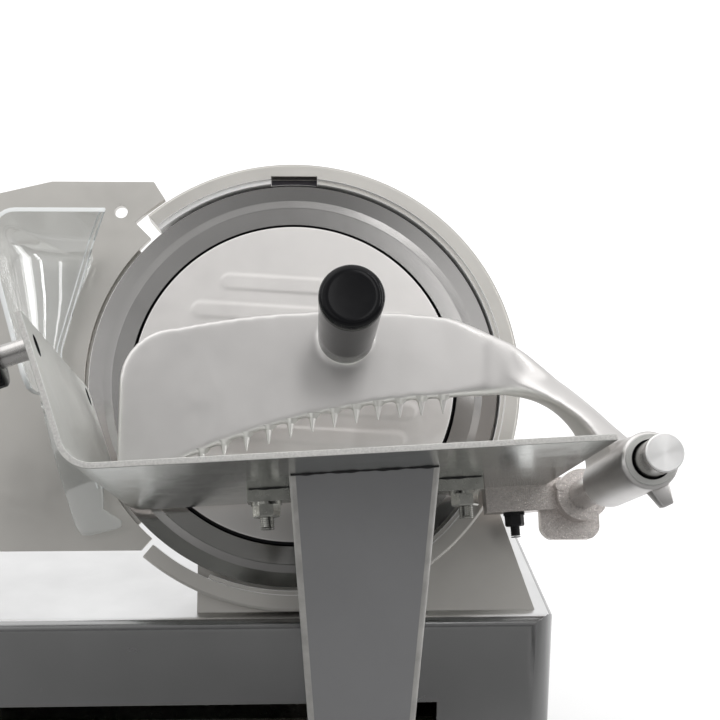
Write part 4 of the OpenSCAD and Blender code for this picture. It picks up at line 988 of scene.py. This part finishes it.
class SLICER_OT_pusher(Step):
    """Cast pusher with its teeth, hub, stop lug and black handle"""

    bl_idname = "slicer.pusher"
    bl_label = "Pusher"

    # In the blade's axes and millimetres: middle and radius of the arc along the plate's lower
    # edge, the plate's two faces, radius and ends of the hub, bore, handle, first tooth, pitch.
    belly = (100.0, -25.8, 392.0)
    face = 88.0
    back = 81.0
    hub = (14.0, 96.0, 183.0)
    bore = 11.05
    handle_at = (29.0, 7.0)
    first_tooth = 82.0
    tooth_pitch = 11.9
    # Turn of the stop lug about the rod, in degrees.
    lug_turn = -66.0
    # Where the softly curved arm starts and over what length, and the same round the hub.
    arm_start, arm_blend = 82.0, 40.0
    hub_start, hub_blend = 15.0, 12.0
    # Rounds of smoothing for the whole casting and for the arm.
    smoothing = (("", 12), ("Arm", 120))

    def execute(self, context):
        self.casting_body()
        self.hub_sleeve()
        self.lug()
        self.teeth()
        self.handle()
        self.bush()
        return {"FINISHED"}

    def cut(self, obj, bm, place):
        """Cuts a bmesh in a place's millimetres out of an object."""
        bmesh.ops.recalc_face_normals(bm, faces=bm.faces)
        placed(bm, place)
        cutter = bare("pusher_cutter", bm)
        step = obj.modifiers.new("Cut", "BOOLEAN")
        step.operation = "DIFFERENCE"
        step.object = cutter
        settled(obj)
        bpy.data.objects.remove(cutter)

    def casting_body(self):
        """The casting with its edges and inner corners rounded as a mould leaves them."""
        hub_r, w0, w1 = self.hub
        obj = bare("pusher_body", merged("pusher_casting"))
        bm = bmesh.new()
        x0, x1, half = hub_r + 0.1, hub_r + 14, 7
        slab(bm, [(x0, -half), (x1, -half), (x1, half), (x0, half)], w1 - 19, w1 - 2)
        self.cut(obj, bm, ROD @ rotated(self.lug_turn, "Z"))
        obj.data.transform(BLADE.inverted())
        fuse = obj.modifiers.new("Fuse", "REMESH")
        fuse.mode = "VOXEL"
        fuse.voxel_size = sizes().cast_voxel
        settled(obj)
        arm = obj.vertex_groups.new(name="Arm")
        for vert in obj.data.vertices:
            arm.add([vert.index], self.arm_share(vert.co / MM), "REPLACE")
        for group, count in self.smoothing:
            fillet = obj.modifiers.new("Fillet", "SMOOTH")
            fillet.factor = 0.5
            fillet.iterations = count
            fillet.vertex_group = group
        settled(obj)
        obj.vertex_groups.clear()
        obj.data.transform(BLADE)
        bm = bmesh.new()
        r, reach = self.bore + 0.4, 30
        lathe(bm, [(0, w0 - reach), (r, w0 - reach), (r, w1 + reach), (0, w1 + reach)], 64)
        self.cut(obj, bm, ROD)
        mount(obj, "pusher_satin", "pusher", "pusher_casting", angle=50)

    def arm_share(self, p):
        """How far a point of the casting belongs to the softly curved arm, from 0 to 1."""
        along = min(1.0, max(0.0, (p.x - self.arm_start) / self.arm_blend))
        away = math.hypot(p.x - ROD_AT.x, p.y - ROD_AT.y)
        off_hub = min(1.0, max(0.0, (away - self.hub_start) / self.hub_blend))
        return along * along * (3 - 2 * along) * off_hub

    def hub_sleeve(self):
        r, w0, w1 = self.hub
        bore = self.bore
        profile = [(bore, w0), (r - 0.8, w0), (r, w0 + 0.8), (r, w1 - 2.6), (r - 0.3, w1 - 1.3),
                   (r - 1.1, w1 - 0.3), (r - 1.9, w1), (bore + 0.5, w1), (bore, w1 - 0.5)]
        turned_piece("pusher_hub", eased(profile, 0.5, 2), 96, ROD, "pusher_satin", "pusher",
                     slot="anodised")

    def bush(self):
        """Plastic bush with a flange, and its chamfer round the rod blackened as painted shadow."""
        low, high = span("pusher_bush", ROD)
        flange, w0, w1 = high.x, low.z, high.z
        r, hole = self.bore - 0.02, 8.55
        profile = [(hole, w0 + 0.4), (hole + 0.4, w0), (r, w0), (r, w1 - 1.2), (flange, w1 - 1.2),
                   (flange, w1 - 0.4), (flange - 0.4, w1), (hole + 1.0, w1), (hole, w1 - 2.2)]
        obj = turned_piece("rod_bush", profile, 96, ROD, "slide_plastic", "bush", "pusher_bush")
        # The chamfer round the rod is blackened as painted shadow.
        tinted(obj, "black_satin", ROD, lambda p: p.xy.length < hole + 0.75)

    def lug(self):
        """Tapered stop lug under the hub's near end."""
        hub_r, _, w1 = self.hub
        bm = bmesh.new()
        ends = []
        for x, half, z0, z1 in ((hub_r - 2, 5.2, w1 - 16, w1 - 5),
                                (hub_r + 8.8, 2.9, w1 - 13.5, w1 - 6.5)):
            corners = ((-half, z0), (half, z0), (half, z1), (-half, z1))
            ends.append([bm.verts.new((x, y, z)) for y, z in corners])
        tube(bm, ends)
        bmesh.ops.bevel(bm, geom=bm.edges, offset=0.9, segments=3, profile=0.5, affect="EDGES")
        piece("stop_lug", bm, ROD @ rotated(self.lug_turn, "Z"), "pusher_satin", "pusher",
              slot="anodised")

    def teeth(self):
        s = sizes()
        cu, cv, r = self.belly
        points = []
        for k in range(s.tooth_count):
            u = self.first_tooth - k * self.tooth_pitch
            edge = cv - r + math.sqrt(r * r - (u - cu) ** 2)
            points.append((u, (self.face + self.back) / 2, -edge - 1.0))
        # Local z of a tooth runs down the plate.
        down = BLADE @ Matrix(((1, 0, 0, 0), (0, 0, -1, 0), (0, 1, 0, 0), (0, 0, 0, 1)))
        repeated("pusher_teeth", tooth_tree, points, down, "pusher_satin", "pusher",
                 slot="anodised", Length=s.tooth_length + MM, Radius=s.tooth_radius,
                 Flare=s.tooth_flare)

    def handle(self):
        place = BLADE @ moved(*self.handle_at, 0)
        low, high = span("pusher_handle", place)
        r, end = high.x, high.z
        start = self.face + 1.6
        base = r - 0.9
        stud = 4.0
        profile = [(0, low.z), (stud, low.z), (stud, start), (base - 1, start), (base, start + 1),
                   (base + 0.2, start + 20), (r - 0.2, end - 12), (r - 0.1, end - 7.2),
                   (r - 0.7, end - 6.8), (r - 0.7, end - 6.3), (r, end - 5.9), (r, end - 3.4),
                   (r - 0.5, end - 1.6), (r - 1.7, end - 0.5), (r - 3.4, end - 0.1),
                   (r - 5, end - 0.15), (r * 0.5, end - 0.3), (0, end - 0.3)]
        turned_piece("pusher_knob", profile, 128, place, "black_gloss", "pusher", "pusher_handle",
                     angle=50)


class SLICER_OT_carriage(Step):
    """Tray, arm, cross bar, grip and the carriage's studs"""

    bl_idname = "slicer.carriage"
    bl_label = "Carriage"

    # Height and depth of the fence's two holes in its own axes, the nearer one first, with the
    # reach of a hole's wall and the largest area of its faces in square metres.
    # The holes' walls are painted black as shade.
    holes = ((62.0, 180.0), (67.0, 20.0))
    hole_reach = 6.1
    hole_area = 1e-4
    # How closely a face follows a direction to be an edge, an end or the underside of the tray.
    edge_share, end_share, under_share = 0.9, 0.985, 0.5
    # Least height of the arm's bent edges. Then the corners of the bracket's tab: how far below
    # the rod they lie, how long their edges are at least, and the radius of their bends.
    arm_edge = 20.0
    tab_drop = 19.0
    tab_edge = 5.0
    tab_bend = 2.6
    # Head radius, head height, radius of the key's hole and seat of the fence's screws.
    fence_screw = (5.3, 1.8, 2.7, -3.4)
    # Step along the dark seam, its radius, and two waves in it: height, radians per millimetre
    # and start.
    sealant_step = 1.5
    sealant_radius = 0.55
    sealant_waves = ((0.2, 0.31, 0.0), (0.15, 0.83, 1.0))
    # Heights of a washer and of a nut, the room for a nut on its stud, and the stud's end below.
    washer_height = 1.6
    nut_height = 5.7
    nut_room = 6.5
    stud_end = 5.0

    def execute(self, context):
        s = sizes()
        softened("tray", "tray_sheet", s.sheet_round, 2,
                 ["sheared_edge", "tray_under", "black_oxide"], self.tray_part)
        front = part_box("carriage_arm")[0][1] + 0.1 * MM
        self.arm(front)
        softened("cross_bar", "zinc_plate", s.cast_round)
        self.bracket()
        self.grip()
        self.studs()
        self.fence_screws()
        self.sealant(front)
        return {"FINISHED"}

    def tray_part(self, face):
        """Number of the finish of a tray's face: sheet, sheared edge, underside darkened as painted
        shade, or hole wall blackened as painted shade.
        """
        p = FENCE.inverted() @ face.center / MM
        # Small faces round a hole get black as painted shade.
        if face.area < self.hole_area:
            if any(math.hypot(p.y - y, p.z - z) < self.hole_reach for y, z in self.holes):
                return 3
        n = face.normal
        ends = (heading(TRAY, 1, 0, 0), heading(FENCE, 0, 1, 0))
        if abs(n.dot(heading(BLADE, 0, 0, 1))) > self.edge_share:
            return 1
        if any(n.dot(end) > self.end_share for end in ends):
            return 1
        return 2 if n.dot(heading(TRAY, 0, -1, 0)) > self.under_share else 0

    def arm(self, front):
        """Folded arm with worn bends along its front."""
        def bends(edge):
            a, b = (v.co for v in edge.verts)
            return max(a.y, b.y) < front and abs(a.z - b.z) > self.arm_edge * MM

        s = sizes()
        # The arm's coat is darkened as painted shade under the tray.
        softened("carriage_arm", "arm_coat", s.sheet_round, 2, ["arm_bend"], bend_test=bends,
                 bend=s.arm_bend)

    def bracket(self):
        """Milled rod bracket whose tab has rounded lower corners."""
        back = BLADE.inverted()

        def tab_corner(edge):
            a, b = (back @ v.co / MM for v in edge.verts)
            low = max(a.y, b.y) < ROD_AT.y - self.tab_drop
            return low and abs(a.z - b.z) > self.tab_edge

        softened("rod_bracket", "milled_grey", 1.3 * sizes().cast_round, 3, ["milled_grey"],
                 bend_test=tab_corner, bend=self.tab_bend * MM)

    def fence_screws(self):
        """Dark socket screws in the fence's holes, with the grip's rod and a shank behind them."""
        turn = FENCE @ rotated(90, "Y")
        head, tall, key, seat = self.fence_screw
        repeated("fence_screw_heads", socket_tree, [(-z, y, seat) for y, z in self.holes], turn,
                 "black_oxide", "carriage", "guard_screw", Head_Radius=head * MM,
                 Head_Height=tall * MM, Key_Radius=key * MM)
        for (y, z), name, r, back, paint, nodes, slot in (
                (self.holes[0], "grip_rod", 5.4, -60.0, "bright_steel", ["handle_rod"],
                 "turned_steel"),
                (self.holes[1], "guard_screw_shank", 3.0, -20.0, "zinc_plate", [], "zinc")):
            profile = [(0, back), (r - 0.4, back), (r, back + 0.4), (r, -2.9), (0, -2.9)]
            turned_piece(name, profile, 48, turn @ moved(-z, y, 0), paint, "carriage", *nodes,
                         slot=slot)

    def sealant(self, front):
        """Dark wavy strip under the tray along the arm, the cross bar and the bracket."""
        bar, arm, bracket = (
            span(node, TRAY) for node in ("cross_bar", "carriage_arm", "rod_bracket"))
        seat = bar[1].y
        turn = TRAY.to_3x3()

        def on_arm(x):
            flat = TRAY.translation + turn @ (Vector((x, seat, 0)) * MM)
            return (front - flat.y) / (turn[1][2] * MM)

        runs = [(arm[0].x + 1, arm[1].x - 1, on_arm),
                (bar[0].x + 1, bar[1].x - 1, lambda x: bar[1].z),
                (bracket[0].x + 1, bracket[0].x + 22, lambda x: bracket[0].z + 15)]
        bm = bmesh.new()
        for first, last, depth in runs:
            rings = []
            count = int((last - first) / self.sealant_step)
            for i in range(count + 1):
                x = first + (last - first) * i / count
                thick = self.sealant_radius
                thick += sum(h * math.sin(f * x + s) for h, f, s in self.sealant_waves)
                around = [polar(thick, a) for a in EIGHTHS]
                rings.append([bm.verts.new((x, seat - 0.2 + y, depth(x) + z)) for y, z in around])
            tube(bm, rings)
        piece("tray_sealant", bm, TRAY, "black_satin", "carriage", slot="rubber", angle=60)

    def grip(self):
        low, high = span("carriage_grip", FENCE)
        middle = (low + high) / 2
        r = (high.y - low.y) / 2
        place = FENCE @ moved(high.x, middle.y, middle.z) @ rotated(-90, "Y")
        end = high.x - low.x
        profile = [(5.6, 0), (r - 3, 0), (r - 2, 1), (r - 1.6, 20), (r - 0.2, end - 14),
                   (r - 0.1, end - 8.2), (r - 0.7, end - 7.8), (r - 0.7, end - 7.3),
                   (r, end - 6.9), (r, end - 4), (r - 0.6, end - 1.8), (r - 2, end - 0.5),
                   (r - 4, end), (0, end - 0.6), (0, 43), (5.6, 42.5)]
        turned_piece("grip_black", profile, 96, place, "black_gloss", "carriage", "carriage_grip",
                     angle=50)

    def studs(self):
        for node, name, paint, stud, nut, washer in (
                ("tray_fasteners", "tray_nuts", "zinc_plate", 4.0, 7.5, 8.4),
                ("bracket_bolt", "bracket_nut", "black_oxide", 3.0, 5.77, 6.3)):
            low, high = span(node, TRAY)
            middle = (low + high) / 2
            ends = [middle.x]
            if high.x - low.x > 4 * washer:
                ends = [low.x + washer, high.x - washer]
            shoulder = low.y + self.stud_end + self.nut_room + self.washer_height
            repeated(name, nut_tree, [(x, middle.z, 0) for x in ends],
                     TRAY @ moved(0, shoulder, 0) @ rotated(90, "X"), paint, "carriage", node,
                     Stud_Radius=stud * 0.88 * MM, Stud_Length=(shoulder - low.y) * MM,
                     Nut_Radius=nut * MM, Nut_Height=self.nut_height * MM,
                     Washer_Radius=washer * MM, Washer_Height=self.washer_height * MM)


class SLICER_OT_rod(Step):
    """Bright pusher rod with its knurled end collar"""

    bl_idname = "slicer.rod"
    bl_label = "Pusher rod"

    def execute(self, context):
        low, high = span("pusher_rod", ROD)
        r = high.x
        profile = [(0, low.z), (r - 0.5, low.z), (r, low.z + 0.5), (r, high.z - 0.4),
                   (r - 0.4, high.z), (0, high.z)]
        turned_piece("rod_bright", profile, 96, ROD, "turned_steel", "carriage", "pusher_rod")
        low, high = span("rod_stop", ROD)
        r = high.x
        profile = [(0, low.z), (r - 2, low.z), (r - 2, low.z + 0.9), (r - 0.5, low.z + 1.0),
                   (r - 0.5, low.z + 3.0), (r - 0.1, low.z + 3.1), (r, low.z + 3.4),
                   (r, high.z - 0.5), (r - 0.5, high.z), (0, high.z)]
        turned_piece("rod_end", profile, 96, ROD, "turned_face", "carriage", "rod_stop")
        repeated("rod_knurl", rib_tree, [(0, 0, low.z + 2.0)], ROD, "turned_steel", "carriage",
                 slot="turned_steel", Count=sizes().knurl_count, Radius=(r - 0.4) * MM,
                 Size=(0.8 * MM, 0.32 * MM, 1.9 * MM))
        return {"FINISHED"}


class SLICER_OT_guard(Step):
    """Clear moulded hand guard with a hood, a rolled side wall and a flat tongue"""

    bl_idname = "slicer.guard"
    bl_label = "Clear hand guard"

    # In the blade's axes and millimetres: right edge of the face from its foot up, line of the
    # wall's fold, lowest points of the tongue and of the wall, height of the hood, right end of
    # the hood's lip and reach of the rolled wall.
    right = [(-101.4, -89), (-101.4, -85.5), (-112, -79), (-112.6, -67), (-132.6, -8.7),
             (-140.5, 14), (-122.5, 86)]
    fold = [(-127.1, -94.6), (-140.4, -56), (-178, 70), (-178, 100)]
    foot = -94.2
    wall_foot = -12.0
    hood = 86.0
    lip_end = -110.5
    roll = 46.0
    # Heights of the rows of points over the walled part and over the tongue.
    upper_rows = (wall_foot, -8.7, -4, 4, 14, 26, 38, 48)
    lower_rows = (-24, -38, -52, -67, -73, -79, -82, -85.5, -89)
    # Right end of the tongue's foot, and how many strips the flat face has.
    foot_corner = (-104.0, -90.4)
    strips = 8
    # Largest share of the face's width that the roll takes, straight depth left at the lip,
    # and depth and height of the cut at the wall's foot.
    roll_share = 0.97
    lip_straight = 5.0
    foot_cut = (9.0, 8.0)

    def execute(self, context):
        self.shell()
        self.bead()
        self.post()
        return {"FINISHED"}

    @staticmethod
    def at_height(line, v):
        for (u0, v0), (u1, v1) in zip(line, line[1:]):
            if v0 <= v <= v1:
                return u0 + (u1 - u0) * (v - v0) / (v1 - v0)
        return line[0][0] if v < line[0][1] else line[-1][0]

    def shell(self):
        s = sizes()
        half = s.guard_wall / MM / 2
        low, high = span("hand_guard", BLADE)
        face, near = low.z + half, high.z - 0.3
        top, rise = self.hood - half, high.y - self.hood
        strips = self.strips
        bm = bmesh.new()

        def roof(w):
            return top + rise * (w - face) / (near - face)

        def across(v, walled):
            """Middle of the sheet at one height, from its right edge to its left or the lip."""
            u1, u0 = self.at_height(self.right, v), self.at_height(self.fold, v) + half
            roll = min(self.roll, self.roll_share * (u1 - u0)) if walled else 0.0
            deep = min(roll, near - face - self.lip_straight)
            points = [(u1 + (u0 + roll - u1) * i / strips, face) for i in range(strips + 1)]
            if not walled:
                return points
            points += [(u0 + roll - roll * math.sin(a), face + deep - deep * math.cos(a))
                       for a in [math.radians(7.5 * k) for k in range(1, 13)]]
            cut, tall = self.foot_cut
            lip = near - cut * max(0.0, 1 - (v - self.wall_foot) / tall) ** 2
            return points + [(u0, face + deep + (lip - face - deep) * i / 3) for i in range(1, 4)]

        def row(v, walled):
            return [bm.verts.new((u, v, w)) for u, w in across(v, walled)]

        def stitch(rows):
            for a, b in zip(rows, rows[1:]):
                for i in range(min(len(a), len(b)) - 1):
                    bm.faces.new((a[i], a[i + 1], b[i + 1], b[i]))

        rim = [bm.verts.new((u, roof(w), w)) for u, w in across(top, True)]
        upper = [row(v, True) for v in self.upper_rows] + [rim]
        lower = [upper[0][:strips + 1]] + [row(v, False) for v in self.lower_rows]
        u1, v1 = self.foot_corner
        u0 = self.at_height(self.fold, self.foot) + half + 2
        lower.append([bm.verts.new((u1 + (u0 - u1) * i / strips,
                                    v1 + (self.foot - v1) * min(1, i / 6), face))
                      for i in range(strips + 1)])
        stitch(upper)
        stitch(lower)
        bm.faces.new(rim + [bm.verts.new((self.lip_end, roof(near), near))])
        bmesh.ops.recalc_face_normals(bm, faces=bm.faces)
        edges = [bm.edges.get((a, b)) for a, b in zip(rim, rim[1:])]
        bmesh.ops.bevel(bm, geom=edges, offset=s.guard_bend / MM, segments=7, profile=0.5,
                        affect="EDGES")
        placed(bm, BLADE)
        obj = bare("guard_clear", bm)
        # The sheet's rim is milky white as painted highlight of its lit edges.
        for paint in ("clear_plastic", "clear_edge"):
            obj.data.materials.append(look(paint))
        thick = obj.modifiers.new("Wall", "SOLIDIFY")
        thick.thickness = s.guard_wall
        thick.material_offset_rim = 1
        thick.offset = 0.0
        rounded(obj, 0.8 * MM, 3, 50)
        settled(obj)
        mount(obj, None, "carriage", "hand_guard", angle=60)

    def bead(self):
        """Two fine beads along the right edge of the guard's face and hood, milky as painted
        highlight.
        """
        low, high = span("hand_guard", BLADE)
        r, face = 0.5, low.z + sizes().guard_wall / MM
        outline = [(u, v, face) for u, v in eased(self.right[3:], 6, closed=False)]
        outline.append((self.lip_end, high.y - 1, high.z - 1.2))
        bm = bmesh.new()
        for inset in (0.2, 2.9):
            path = [Vector((u - inset, v, w)) for u, v, w in outline]
            rings = []
            for i, p in enumerate(path):
                along = (path[min(i + 1, len(path) - 1)] - path[max(i - 1, 0)]).normalized()
                side = along.cross(Vector((0, 0, 1))).normalized()
                up = side.cross(along)
                rings.append([bm.verts.new(p + r * (side * math.cos(a) + up * math.sin(a)))
                              for a in EIGHTHS])
            tube(bm, rings)
        piece("guard_bead", bm, BLADE, "clear_edge", "carriage", slot="clear", angle=50)

    def post(self):
        """Moulded post that holds the guard on the fence."""
        y, z = SLICER_OT_carriage.holes[1]
        place = FENCE @ moved(-3.2, y, z) @ rotated(-90, "Y")
        profile = [(3.05, 0), (6, 0), (6.4, 24), (0, 24), (0, 17.5), (3.05, 17.5)]
        turned_piece("guard_post", eased(profile, 0.4, 2), 48, place, "clear_plastic", "carriage",
                     slot="clear")


class SLICER_OT_controls(Step):
    """Index knob and dial, switch, lamp, feet and cable gland"""

    bl_idname = "slicer.controls"
    bl_label = "Controls and feet"

    # Radius and angles of the ring's screws, in the blade's axes.
    ring_screw_radius = 132.0
    ring_screw_angles = (118, 62, -30, -60)
    # Figures of the dial: how many, degrees between them, height and distance from the edge.
    figures = 10
    figure_step = 30.0
    figure_height = 3.0
    figure_inset = 3.1

    def execute(self, context):
        self.knob()
        self.dial()
        cast, sheet = sizes().cast_round, sizes().sheet_round
        for node, paint, width, segments in (
                ("switch_panel", "black_satin", cast, 2),
                ("switch_body", "black_satin", sheet, 2),
                ("cable_gland", "black_satin", sheet, 2),
                ("rubber_feet", "foot_rubber", cast, 2),
                ("on_button", "button_green", cast, 3),
                ("off_button", "button_red", cast, 3),
                ("pilot_lamp", "lamp_amber", cast, 3)):
            softened(node, paint, width, segments)
        self.cap()
        self.screws()
        return {"FINISHED"}

    def knob(self):
        low, high = span("index_knob", KNOB)
        r, front, back = high.x, low.z, high.z
        profile = [(5.04, back), (r - 0.6, back), (r, back - 0.8), (r, back - 5),
                   (r - 1.2, back - 6), (r - 5.4, back - 7), (r - 5.6, front + 3),
                   (r - 6.6, front + 0.8), (r - 9, front + 0.1), (r - 14, front + 0.5),
                   (0, front + 0.9), (0, front + 5.6), (5.04, front + 5.6)]
        turned_piece("knob_black", profile, 96, KNOB, "black_satin", "index", "index_knob",
                     angle=45)
        repeated("knob_ribs", rib_tree, [(0, 0, (front + back - 4) / 2)], KNOB, "black_satin",
                 "index", slot="black_plastic", Count=36, Radius=(r - 5.5) * MM,
                 Size=(1.5 * MM, 2.2 * MM, 13 * MM))
        bm = bmesh.new()
        half, inner, outer = 0.6, r - 4.6, r - 0.9
        slab(bm, [(-half, inner), (half, inner), (half, outer), (-half, outer)], back - 6.4,
             back - 4.6)
        piece("knob_mark", bm, KNOB, "knob_print", "index", slot="dial")

    def dial(self):
        low, high = span("dial_plate", KNOB)
        softened("dial_plate", "bright_steel", sizes().sheet_round)
        r, face = high.x, low.z
        repeated("dial_ticks", rib_tree, [(0, 0, face)], KNOB, "dial_print", "frame", slot="dial",
                 Count=30, Radius=(r - 0.9) * MM, Size=(1.4 * MM, 0.35 * MM, 0.12 * MM))
        for k in range(self.figures):
            a = math.radians(90 + self.figure_step * k)
            name = f"dial_figure_{k}"
            text = bpy.data.curves.new("dial_figure", "FONT")
            text.body = str(k)
            text.size = self.figure_height * MM
            text.align_x = "CENTER"
            text.align_y = "CENTER"
            text.extrude = 0.05 * MM
            label = link_object(name, text)
            mesh = evaluated_mesh(label)
            bpy.data.objects.remove(label)
            figure = link_object(name, mesh)
            spin = rotated(180, "Y") @ Matrix.Rotation(math.radians(90) - a, 4, "Z")
            mesh.transform(KNOB @ moved(*polar(r - self.figure_inset, a), face) @ spin)
            mount(figure, "dial_print", "frame", slot="dial")

    def cap(self):
        """Fluted knob behind the housing that clamps the blade cover."""
        low, high = span("cover_knob", BLADE)
        r, back, front = high.x, low.z, high.z
        profile = [(0, back + 0.6), (r - 8, back), (r - 4, back + 0.4), (r - 2.6, back + 2),
                   (r - 2.4, front - 5), (r, front - 4), (r, front - 0.8), (r - 0.8, front),
                   (5.03, front), (5.03, back + 5.6), (0, back + 5.6)]
        turned_piece("cap_black", profile, 96, BLADE, "black_satin", "cover_tie", "cover_knob",
                     angle=45)
        repeated("cap_ribs", rib_tree, [(0, 0, (back + front) / 2 - 1.2)], BLADE, "black_satin",
                 "cover_tie", slot="black_plastic", Count=24, Radius=(r - 2.6) * MM,
                 Size=(2.2 * MM, 2.0 * MM, 17 * MM))

    def screws(self):
        """Socket heads on the ring and the gauge plate."""
        back = span("ring_screws", BLADE)[0].z
        tall = 4.0
        points = []
        for angle in self.ring_screw_angles:
            u, v = polar(self.ring_screw_radius, math.radians(angle))
            points.append((u, -v, -back - tall))
        repeated("ring_screw_heads", socket_tree, points, BLADE @ rotated(180, "X"), "zinc_plate",
                 "frame", "ring_screws", Head_Radius=4.5 * MM, Head_Height=tall * MM,
                 Key_Radius=2.3 * MM)
        low, high = span("gauge_screws", BLADE)
        r, tall = 5.0, 2.3
        middle = (low + high) / 2
        points = [(u, middle.y, high.z - tall) for u in (low.x + r, middle.x, high.x - r)]
        repeated("gauge_screw_heads", socket_tree, points, BLADE, "zinc_plate", "gauge",
                 "gauge_screws", Head_Radius=r * MM, Head_Height=tall * MM, Key_Radius=2.6 * MM)


class SLICER_PT_panel(bpy.types.Panel):
    """Lists the slicer's steps"""

    bl_idname = "SLICER_PT_panel"
    bl_label = "Food slicer"
    bl_space_type = "VIEW_3D"
    bl_region_type = "UI"
    bl_category = "Slicer"

    def draw(self, context):
        for step in STEPS:
            self.layout.operator(step.bl_idname)


STEPS = (SLICER_OT_stage, SLICER_OT_castings, SLICER_OT_blade, SLICER_OT_pusher,
         SLICER_OT_carriage, SLICER_OT_rod, SLICER_OT_guard, SLICER_OT_controls)
CLASSES = (SlicerSizes, SlicerColours, *STEPS, SLICER_PT_panel)


def register():
    for cls in CLASSES:
        bpy.utils.register_class(cls)
    bpy.types.Scene.slicer_sizes = PointerProperty(type=SlicerSizes)
    bpy.types.Scene.slicer_colours = PointerProperty(type=SlicerColours)


def unregister():
    del bpy.types.Scene.slicer_colours
    del bpy.types.Scene.slicer_sizes
    for cls in reversed(CLASSES):
        bpy.utils.unregister_class(cls)


def main():
    register()
    bpy.ops.slicer.stage()
    bpy.ops.slicer.castings()
    bpy.ops.slicer.blade()
    bpy.ops.slicer.pusher()
    bpy.ops.slicer.carriage()
    bpy.ops.slicer.rod()
    bpy.ops.slicer.guard()
    bpy.ops.slicer.controls()


if __name__ == "__main__":
    main()
